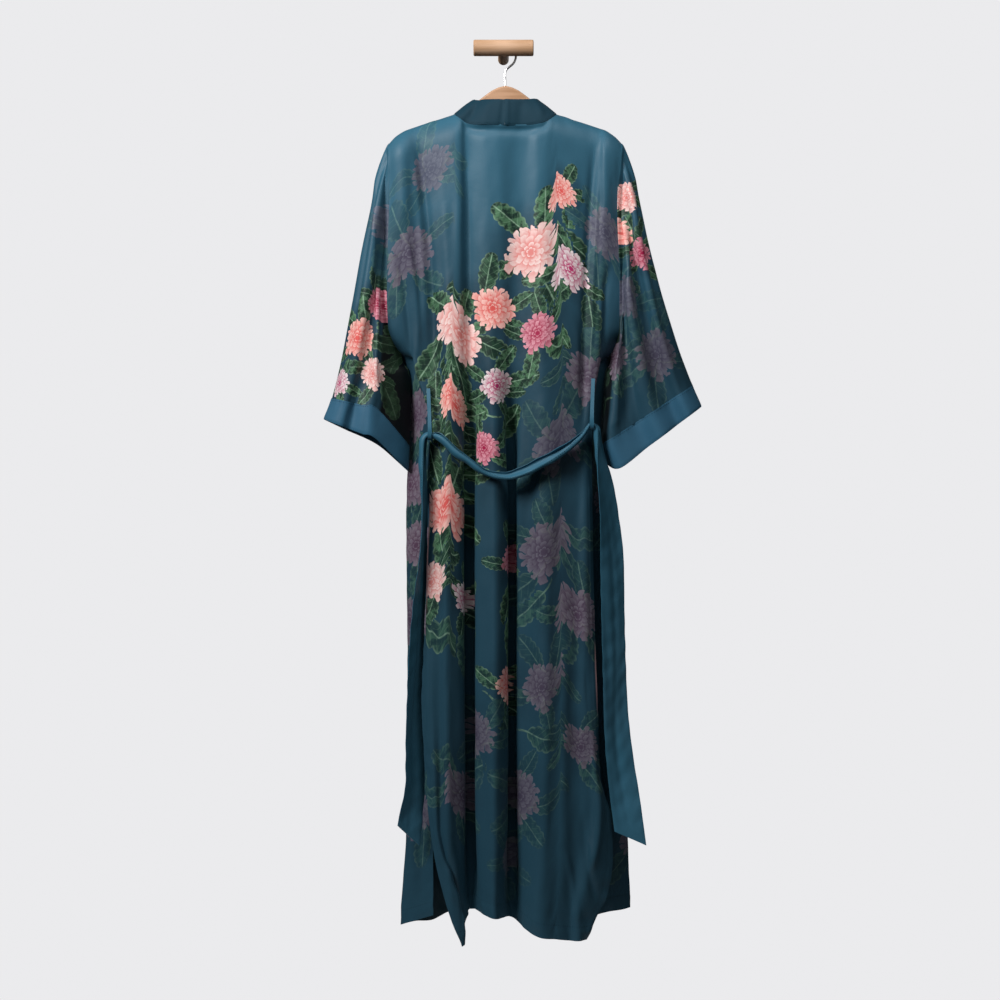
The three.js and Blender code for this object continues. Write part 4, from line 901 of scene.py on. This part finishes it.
def set_places(mesh, name, u, v):
    layer = mesh.uv_layers.new(name=name)
    layer.uv.foreach_set("vector", np.stack([u, v], axis=-1).ravel().astype(np.float32))


def set_colour(mesh, name, values):
    layer = mesh.color_attributes.new(name, "FLOAT_COLOR", "CORNER")
    layer.data.foreach_set("color", values.ravel().astype(np.float32))


# ---------------------------------------------------------------- shader nodes


class Value:
    """A number in a node tree. Each sum done on it adds a math node."""

    def __init__(self, shader, socket):
        self.shader = shader
        self.socket = socket

    def op(self, operation, *others):
        made = self.shader.node("ShaderNodeMath", operation=operation)
        for socket, value in zip(made.inputs, (self, *others)):
            self.shader.feed(socket, value)
        return Value(self.shader, made.outputs[0])

    def __add__(self, other):
        return self.op("ADD", other)

    def __sub__(self, other):
        return self.op("SUBTRACT", other)

    def __rsub__(self, other):
        return self * -1.0 + other

    def __mul__(self, other):
        return self.op("MULTIPLY", other)

    def __pow__(self, other):
        return self.op("POWER", other)

    def __abs__(self):
        return self.op("ABSOLUTE")


class Shader:
    """Short hand for building one node material."""

    def __init__(self, name):
        self.material = bpy.data.materials.new(name)
        self.material.use_nodes = True
        self.tree = self.material.node_tree
        self.bsdf = self.tree.nodes["Principled BSDF"]

    def node(self, kind, inputs=None, **settings):
        made = self.tree.nodes.new(kind)
        for key, value in settings.items():
            setattr(made, key, value)
        for key, value in (inputs or {}).items():
            self.feed(made.inputs[key], value)
        return made

    def feed(self, socket, value):
        if isinstance(value, Value):
            value = value.socket
        if isinstance(value, bpy.types.NodeSocket):
            self.tree.links.new(value, socket)
        else:
            socket.default_value = value

    def smooth(self, value, lo, hi, out_lo=0.0, out_hi=1.0):
        inputs = {"Value": value, "From Min": lo, "From Max": hi, "To Min": out_lo, "To Max": out_hi}
        made = self.node("ShaderNodeMapRange", inputs, interpolation_type="SMOOTHSTEP")
        return Value(self, made.outputs[0])

    def mix(self, share, a, b):
        return self.node("ShaderNodeMix", {0: share, 6: a, 7: b}, data_type="RGBA").outputs[2]

    def scaled(self, vector, scale):
        return self.node("ShaderNodeVectorMath", {0: vector, 1: scale}, operation="MULTIPLY").outputs[0]

    def places(self, layer, scale=(1, 1, 1)):
        return self.scaled(self.node("ShaderNodeUVMap", uv_map=layer).outputs[0], scale)

    def object_places(self):
        return self.node("ShaderNodeTexCoord").outputs["Object"]

    def parts(self, vector):
        return [Value(self, part) for part in self.node("ShaderNodeSeparateXYZ", {0: vector}).outputs]

    def ink(self, layer):
        """A corner colour and its alpha."""
        made = self.node("ShaderNodeVertexColor", layer_name=layer)
        return made.outputs[0], Value(self, made.outputs[1])

    def noise(self, vector, scale, detail=2.0, roughness=0.5):
        inputs = {"Vector": vector, "Scale": scale, "Detail": detail, "Roughness": roughness}
        return Value(self, self.node("ShaderNodeTexNoise", inputs).outputs[0])

    def bump(self, height, strength, distance):
        inputs = {"Strength": strength, "Distance": distance, "Height": height}
        return self.node("ShaderNodeBump", inputs).outputs[0]

    def set(self, **values):
        for key, value in values.items():
            self.feed(self.bsdf.inputs[key.replace("_", " ")], value)


# Rings of petals from the outside in. Columns: outer radius, petals, offset in petals, how pointed.
PETAL_RINGS = [
    (1.0, 17, 0.0, 0.26), (0.84, 15, 0.4, 0.22), (0.67, 12, 0.1, 0.22), (0.5, 10, 0.6, 0.24),
    (0.34, 7, 0.2, 0.26), (0.18, 5, 0.5, 0.3),
]


PETAL_SPREAD = (-0.24, 1.05)  # petal lengths: how much they differ, and the longest, in ring radii
WOBBLE, TWIST = 0.16, 0.9


def bloom_nodes(sh):
    """Colour, cover and surround of a many-petalled bloom, drawn ring by ring round the motif's centre."""
    places = sh.places("bloom")
    wobble = sh.noise(places, 2.6)
    x, y, _ = sh.parts(places)
    r = (x * x + y * y).op("SQRT") + (wobble - 0.5) * WOBBLE
    angle = y.op("ARCTAN2", x) + wobble * TWIST
    tip, strength = sh.ink("bloom_tip")
    heart, _ = sh.ink("bloom_heart")
    colour = heart
    streak = (angle * 96.0).op("SINE") * 0.07 + 0.93
    for number, (radius, petals, offset, pointed) in enumerate(PETAL_RINGS):
        turn = angle * (petals / (2 * math.pi)) + (offset + 2 * petals)
        across = abs(turn.op("FRACT") * 2.0 - 1.0)
        petal = turn.op("FLOOR").op("MODULO", float(petals)) + 31.0 * number
        chance = Value(sh, sh.node("ShaderNodeTexWhiteNoise", {"W": petal}, noise_dimensions="1D").outputs[0])
        long = (chance * PETAL_SPREAD[0] + PETAL_SPREAD[1]) * radius
        share = r.op("DIVIDE", long * (across**2.4 * -pointed + 1.0))
        mask = sh.smooth(share, 1.0, 0.96)
        tone = sh.smooth(share, 0.5, 1.0) * (chance * 0.35 + 0.7)
        tone = tone * sh.smooth(across, 0.55, 1.0, 1.0, 0.15) * streak
        colour = sh.mix(mask, colour, sh.mix(tone, heart, tip))
        if number == 0:
            cover = mask
    return colour, cover * strength, sh.smooth(r, 1.9, 0.9) * strength


def leaf_nodes(sh):
    """Colour and cover of a scalloped leaf on a short stem, and how deep the painted shade on the cloth is
    there.
    """
    places = sh.places("leaf")
    x, y, _ = sh.parts(places)
    strength, tone, dark = sh.parts(sh.ink("leaf_ink_and_painted_shade")[0])
    side = abs(y)
    room = (1.0 - x * x).op("MAXIMUM", 0.0)
    scallop = abs((x * 9.0).op("SINE")) * 0.07
    outside = side - (room**0.55 * 0.47 + scallop) * room.op("GREATER_THAN", 0.02)
    rim = sh.smooth(outside, -0.13, -0.02)
    vein = ((side * -0.8 + x) * 3.2 + 20.0).op("FRACT")
    vein = sh.smooth(abs(vein - 0.5), 0.07, 0.0)
    light = (rim * 0.6).op("MAXIMUM", vein * 0.45).op("MAXIMUM", sh.smooth(side, 0.045, 0.01))
    patches = sh.noise(places, 2.4, 3.0, 0.6)
    green = sh.mix(tone, (0.016, 0.050, 0.026, 1), (0.085, 0.20, 0.10, 1))
    green = sh.mix(sh.smooth(patches, 0.42, 0.62), (0.008, 0.026, 0.016, 1), green)
    green = sh.mix(light * sh.smooth(patches, 0.3, 0.6), green, (0.26, 0.42, 0.28, 1))
    sway = (-1.0 - x).op("MAXIMUM", 0.0) ** 2.0 * 0.5
    stem = sh.smooth(abs(y - sway), 0.055, 0.03) * x.op("LESS_THAN", -0.96) * x.op("GREATER_THAN", -1.75)
    return green, sh.smooth(outside, 0.0, -0.03).op("MAXIMUM", stem) * strength, dark


GROUND_FADE = (0.05, 0.42)  # metres down a piece between which the ground colour darkens from teal to deep
CLOUDS, SLUBS, WARP = (3.2, 2.0, 1), (900, 26, 1), (30, 2400, 1)  # marks per metre, across and along
# Colours towards which the painted shade darkens the ground and the leaves.
DEEP_SHADE = (0.0015, 0.003, 0.004, 1)
SHADED_LEAF = (0.012, 0.03, 0.014, 1)
ROLLED_EDGE = (0.42, 0.26, 0.27, 1)
SHEEN_TINT = (0.45, 0.75, 0.9, 1)


def satin(name, deep, bright, printed=False, wrong_side=False, rolled=False, gloss=0.42, shine=0.24):
    """Satin: smooth, softly glossy along the warp, with a fine weave and faint long slubs."""
    sh = Shader(name)
    cloth = sh.places("cloth")
    deep, bright = (*deep, 1), (*bright, 1)
    cloud = sh.noise(sh.places("cloth", CLOUDS), 1.0, 3.0, 0.55)
    if printed:
        leaf_colour, leaf_cover, dark = leaf_nodes(sh)
        bloom_colour, bloom_cover, halo = bloom_nodes(sh)
        faint = 0.45 if wrong_side else 1.0
        depth = sh.smooth(sh.parts(cloth)[1], *GROUND_FADE)
        # dark is painted shade on the sleeves' undersides; it darkens the ground towards DEEP_SHADE and the
        # leaves towards SHADED_LEAF.
        tone = (cloud * 0.5 + 0.75) * (depth * -0.62 + 1.0) * (halo * -0.45 + 1.0) * (1.0 - dark)
        colour = sh.mix(tone, sh.mix(dark, deep, DEEP_SHADE), bright)
        colour = sh.mix(leaf_cover * faint, colour, sh.mix(dark * 0.75, leaf_colour, SHADED_LEAF))
        colour = sh.mix(bloom_cover * faint, colour, bloom_colour)
    else:
        colour = sh.mix(sh.smooth(cloud, 0.35, 0.7), deep, bright)
    if rolled:
        colour = sh.mix(sh.parts(sh.ink("turned_edge")[0])[0], colour, ROLLED_EDGE)
    slub = sh.noise(sh.places("cloth", SLUBS), 1.0)
    warp = sh.noise(sh.places("cloth", WARP), 1.0, 1.0)
    lift = slub * 0.12 + warp * 0.06 + sh.noise(cloth, 70.0, 3.0) * 0.6
    sh.set(Base_Color=colour, Roughness=slub * 0.12 + (0.5 if wrong_side else gloss))
    sh.set(Normal=sh.bump(lift, 0.35, 0.0012), Specular_IOR_Level=shine, Anisotropic=0.35)
    sh.set(Sheen_Weight=0.04, Sheen_Roughness=0.35, Sheen_Tint=SHEEN_TINT)
    return sh.material


def wood(name, pale, dark, along, size):
    """Light wood with fine grain along one axis."""
    sh = Shader(name)
    places = sh.scaled(sh.object_places(), [size * (0.05 if k == along else 1.0) for k in range(3)])
    grain = sh.noise(places, 1.0, 6.0, 0.62)
    wave = {"Vector": places, "Scale": 0.5, "Distortion": 7.0, "Detail": 2.0, "Detail Scale": 1.2}
    rings = Value(sh, sh.node("ShaderNodeTexWave", wave).outputs[1])
    share = sh.smooth(rings * 0.35 + grain * 0.75, 0.25, 0.85)
    sh.set(Base_Color=sh.mix(share, (*pale, 1), (*dark, 1)), Roughness=grain * 0.2 + 0.42)
    sh.set(Normal=sh.bump(grain, 0.25, 0.0004), Specular_IOR_Level=0.4)
    return sh.material


def steel():
    sh = Shader("bright_steel_wire")
    marks = sh.noise(sh.object_places(), 400.0, 3.0)
    sh.set(Base_Color=(0.72, 0.72, 0.73, 1), Metallic=1.0, Roughness=marks * 0.15 + 0.18)
    return sh.material


def thread():
    sh = Shader("teal_thread")
    twist = sh.noise(sh.object_places(), 900.0)
    sh.set(Base_Color=sh.mix(twist, (0.008, 0.030, 0.045, 1), (0.02, 0.065, 0.09, 1)), Roughness=0.8)
    sh.set(Specular_IOR_Level=0.1)
    return sh.material


GROUND_DEEP, GROUND_BRIGHT = (0.009, 0.026, 0.041), (0.030, 0.113, 0.172)
PRINTED = satin("printed_satin", GROUND_DEEP, GROUND_BRIGHT, printed=True)
PRINTED_EDGED = satin("printed_satin_with_rolled_edge", GROUND_DEEP, GROUND_BRIGHT, printed=True, rolled=True)
REVERSE = satin("reverse_of_printed_satin", (0.008, 0.022, 0.033), (0.018, 0.052, 0.072), printed=True,
                wrong_side=True)
PLAIN = satin("plain_band_satin", (0.028, 0.102, 0.170), (0.040, 0.132, 0.216))
# The neckband is the cuffs' cloth in a much darker copy: painted shade.
NECK_SATIN_PAINTED_SHADE = satin("neckband_satin_with_painted_shade", (0.0075, 0.033, 0.052), (0.011, 0.045, 0.068), gloss=0.6,
                   shine=0.12)
# The belt and carriers are the cuffs' cloth in a lighter copy: painted light.
BELT_SATIN_PAINTED_LIGHT = satin("belt_satin_with_painted_light", (0.028, 0.116, 0.178), (0.048, 0.155, 0.232))
THREAD = thread()

# ---------------------------------------------------------------- stitching


class Stitches:
    """Short stitches along seam lines, joined in one mesh."""

    PITCH, LENGTH, RADIUS, SIDES = 4.2, 3.0, 0.26, 4
    # Columns: share of the length, lift, thickness.
    RINGS = [(0, 0, 0.4), (0.25, 0.12, 1), (0.75, 0.12, 1), (1, 0, 0.4)]

    def __init__(self):
        self.points = []

    def along(self, line, normals, lift):
        at = np.concatenate([[0], np.cumsum(np.linalg.norm(np.diff(line, axis=0), axis=1))])
        starts = np.arange(self.PITCH / 2, at[-1] - self.LENGTH, self.PITCH)

        def spot(distance, values):
            return np.stack([np.interp(distance, at, values[:, k]) for k in range(3)], axis=-1)

        first, last = spot(starts, line), spot(starts + self.LENGTH, line)
        up = unit(spot(starts + self.LENGTH / 2, normals))
        out = np.cross(unit(last - first), up)
        for share, rise, size in self.RINGS:
            for turn in 2 * math.pi * (np.arange(self.SIDES) + 0.5) / self.SIDES:
                from_axis = self.RADIUS * size * (math.cos(turn) * up + math.sin(turn) * out)
                self.points.append(lerp(first, last, share) + up * (lift + rise) + from_axis)

    def piece(self, name):
        """One mesh of all the stitches. Each entry of points holds one corner of every stitch on a line."""
        sides, each = self.SIDES, len(self.RINGS) * self.SIDES
        lines = [np.stack(self.points[k:k + each], axis=1) for k in range(0, len(self.points), each)]
        points = np.concatenate(lines).reshape(-1, 3) * MM
        corners = [(r * sides + k, r * sides + (k + 1) % sides) for r in range(len(self.RINGS) - 1)
                   for k in range(sides)]
        faces = [(a, b, b + sides, a + sides) for a, b in corners]
        faces += [tuple(range(sides))[::-1], tuple(range(each - sides, each))]
        faces = (np.arange(0, len(points), each)[:, None, None] + np.array(faces)).reshape(-1, 4)
        mesh = bpy.data.meshes.new(name)
        mesh.from_pydata(points, [], faces.tolist())
        mesh.materials.append(THREAD)
        return placed(name, mesh)


# ---------------------------------------------------------------- the robe

FOLD_ROUND = 3  # distance from a folded edge within which the double cloth thins


def solids_of(piece_name):
    """A large piece of cloth has several solids, one above the other."""
    parts = [piece_name + "_" + level for level in ("upper", "middle", "lower")]
    return [node for node in [piece_name, *parts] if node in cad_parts]


def cloth_piece(name, slot, flat, data, thickness, materials, rests_on=(), area=None, **form):
    piece = shell(name, data, thickness, materials, **form)
    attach(piece, "root")
    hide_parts(*solids_of(name))


def folded_edge(distance, thin):
    return lerp(thin, 1, quarter_round(distance / FOLD_ROUND))


# Stretches of the back's slit edges, as drops, that have rolled over and show the cloth's pale edge.
ROLLED = {"left": (714, 922), "right": (950, 1085)}


def turned_edges(data, drop):
    """Mark of the pale rolled edge, 1 on it and 0 off it."""
    left = np.arange(drop.shape[1])[None] < drop.shape[1] / 2
    start, end = (np.where(left, ROLLED["left"][k], ROLLED["right"][k]) for k in range(2))
    shown = ease(0, 40, drop - start) * ease(0, 60, end - drop)
    return shown * (1 - ease(1.2, 3.2, data["near_side"]))


stitches = Stitches()


def hem_stitches(data):
    """A stitch line a hem's width from the lower edge."""
    row = int(np.argmin(np.abs(data["from_hem"].mean(axis=1) - HEM_TURN)))
    stitches.along(data["grid"][row], data["normals"][row], PANEL_THICK / 2)


back = finish_panel(BACK, BACK_CREASES, CENTRE_FOLD, 3)
back["edge"] = turned_edges(back, BACK.drop)
cloth_piece("back_panel", "satin_panel", (0.42, 1.3), back, PANEL_THICK, [PRINTED_EDGED, REVERSE], ["hanger"])
hem_stitches(back)

for name, seed in (("left", 11), ("right", 17)):
    front = finish_panel(FRONTS[name], FRONT_CREASES[name], 2.5, seed)
    cloth_piece("front_" + name, "satin_panel", (0.19, 1.27), front, PANEL_THICK, [PRINTED, REVERSE],
                ["hanger"])
    hem_stitches(front)

SLEEVE_STEPS = np.concatenate([np.linspace(0, SET_IN, 22, endpoint=False), np.linspace(SET_IN, 1, 74)])
CUFF_STEPS = np.linspace(1, SLEEVE_END, 15)
for name, seed in (("left", 23), ("right", 29)):
    sleeve = finish_sleeve(name, SLEEVE_STEPS, SLEEVE_CREASES[name], seed, PANEL_THICK, CAD_CLOTH)
    cloth_piece("sleeve_" + name, "satin_panel", (0.56, 0.43), sleeve, PANEL_THICK, [PRINTED, REVERSE],
                area=0.088, closed=True)
    cuff = finish_sleeve(name, CUFF_STEPS, [], seed, BAND_THICK, CAD_BAND, is_band=True)
    cloth_piece("cuff_" + name, "satin_band", (0.36, 0.045), cuff, BAND_THICK, [PLAIN], closed=True,
                rounded=folded_edge(cuff["from_end"], 0.25))
    stitches.along(cuff["grid"][1], cuff["normals"][1], BAND_THICK / 2)

for name, side in (("left", -1), ("right", 1)):
    grid, width = band_grid(side)
    n = normals_of(grid)
    n = n * np.sign(n[len(grid) // 2, 7, 1])
    s, t = lengths(grid, 1), lengths(grid, 0)
    at_back = 1 - ease(*BACK_OF_NECK, t)
    puff = lerp(FRONT_PUFF, BACK_PUFF, at_back) * np.sin(math.pi * width)[None] + waves(s, t, BAND_WAVES, 31)
    puff += BACK_STAND * at_back + crease_height(t, s, BAND_CREASES[name])
    grid = grid + n * puff[..., None]
    band = dict(grid=grid, normals=n, s=s, t=t)
    rounded = folded_edge(np.minimum(width, 1 - width) * BAND_WIDTH, 0.3)
    cloth_piece("neckband_" + name, "satin_band", (BAND_WIDTH * MM, 1.43), band, BAND_THICK, [NECK_SATIN_PAINTED_SHADE],
                rounded=rounded)
    for way in (1, -1):
        stitches.along(grid[:, 1], way * n[:, 1], BAND_THICK / 2)

ACROSS, UPRIGHT = (1, 0, 0), (0, 0, 1)
LOOPS = ["belt_loop_left", "belt_loop_right"]
BELT_PIECES = [
    ("belt_tail_left", BELT_TAIL_LEFT, ACROSS, 32, (0.046, 0.66), 180),
    ("belt_tail_right", BELT_TAIL_RIGHT, ACROSS, 30, (0.046, 0.68), 180),
    ("belt_back", BELT_BACK, UPRIGHT, 0, (0.046, 0.29), 110),
]
for name, rows, axis, slant, flat, steps in BELT_PIECES:
    grid, share = strip_grid(rows, axis, steps, slant=slant)
    s, t = lengths(grid, 1, 9), lengths(grid, 0)
    ripple = waves(s, t, BELT_WAVES, 37)
    ripple += BELT_RIDGE * bell(s + RIDGE_SWAY * np.sin(t / SWAY_PACE), RIDGE_WIDTH)
    ripple *= (ease(0, BELT_STILL, share) * ease(0, BELT_STILL, 1 - share))[:, None]
    grid = grid + normals_of(grid) * ripple[..., None]
    belt = dict(grid=grid, normals=normals_of(grid), s=s, t=t)
    rounded = folded_edge((0.5 - np.abs(BELT_ACROSS)) * BAND_WIDTH, 0.35)
    cloth_piece(name, "satin_belt", flat, belt, BELT_THICK, [BELT_SATIN_PAINTED_LIGHT], LOOPS, rounded=rounded)
    for column in (1, -2):
        stitches.along(grid[:, column], belt["normals"][:, column], BELT_THICK / 2)

for name, x, seam_x, belt_drop in zip(LOOPS, (-118, 141), (-121, 144), (627, 611)):
    grid, _ = strip_grid(carrier_rows(x, seam_x, belt_drop), ACROSS, 90, across=np.linspace(-0.5, 0.5, 5))
    loop = dict(grid=grid, normals=normals_of(grid), s=lengths(grid, 1), t=lengths(grid, 0))
    cloth_piece(name, "satin_belt", (0.01, 0.16), loop, CARRIER_CLOTH, [BELT_SATIN_PAINTED_LIGHT])

threads = stitches.piece("seam_and_hem_stitching")
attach(threads, "root")

# ---------------------------------------------------------------- hanger, hook and peg

BEECH = (0.59, 0.37, 0.234), (0.45, 0.26, 0.142)
HARD_PIECES = {
    "hanger": wood("varnished_hanger_wood", (0.52, 0.30, 0.176), (0.39, 0.207, 0.106), 0, 160),
    "hanger_hook": steel(),
    "peg_bar": wood("oiled_beech", *BEECH, 0, 140),
    "peg_stem": wood("oiled_beech_stem", *BEECH, 1, 140),
}
for node, material in HARD_PIECES.items():
    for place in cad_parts[node].material_slots:
        place.material = material

# ---------------------------------------------------------------- floor, light and camera

FLOOR_DROP = 1.75
bpy.ops.mesh.primitive_circle_add(vertices=96, radius=0.65, fill_type="NGON", location=(0, 0, -FLOOR_DROP))
floor = bpy.context.object
floor.name = "pale_floor"
floor_shader = Shader("pale_floor")
floor_shader.set(Base_Color=(0.8, 0.8, 0.8, 1), Roughness=0.7)
floor.data.materials.append(floor_shader.material)


def area_light(name, place, target, size, power):
    light = bpy.data.lights.new(name, "AREA")
    light.shape = "RECTANGLE"
    light.size, light.size_y = size
    light.energy = power
    made = placed(name, light)
    made.location = place
    made.rotation_euler = (Vector(target) - Vector(place)).to_track_quat("-Z", "Y").to_euler()


area_light("key_light", (-1.9, -1.9, 1.0), (0, -0.1, -0.6), (1.0, 1.0), 86)
area_light("top_light", (0.15, -0.85, 0.75), (0, -0.1, -0.5), (1.5, 0.5), 12)
area_light("fill_light", (2.2, -2.0, -0.5), (0, -0.1, -0.8), (1.2, 2.0), 2.5)
area_light("far_fill_light", (0.6, 2.4, 0.6), (0, 0, -0.7), (2.0, 2.0), 10)

# The wall behind is a plain pale tone; the light that the room gives back is much weaker.
world = bpy.data.worlds.new("studio")
bpy.context.scene.world = world
world.use_nodes = True
tree = world.node_tree
room = tree.nodes["Background"]
room.inputs[0].default_value = (0.6, 0.64, 0.68, 1)
room.inputs[1].default_value = 0.045
backdrop = tree.nodes.new("ShaderNodeBackground")
backdrop.inputs[0].default_value = (0.83, 0.83, 0.846, 1)
seen = tree.nodes.new("ShaderNodeLightPath")
choose = tree.nodes.new("ShaderNodeMixShader")
for number, source in enumerate((seen.outputs["Is Camera Ray"], room.outputs[0], backdrop.outputs[0])):
    tree.links.new(source, choose.inputs[number])
tree.links.new(choose.outputs[0], tree.nodes["World Output"].inputs[0])
bpy.context.scene.view_settings.view_transform = "Standard"

camera_data = bpy.data.cameras.new("photo_view")
camera_data.sensor_width = 36
camera_data.lens = 67.5
camera = placed("photo_view", camera_data)
camera.location = (-0.0057, -3.11, -0.73)
camera.rotation_euler = (math.pi / 2, 0, 0)
bpy.context.scene.camera = camera
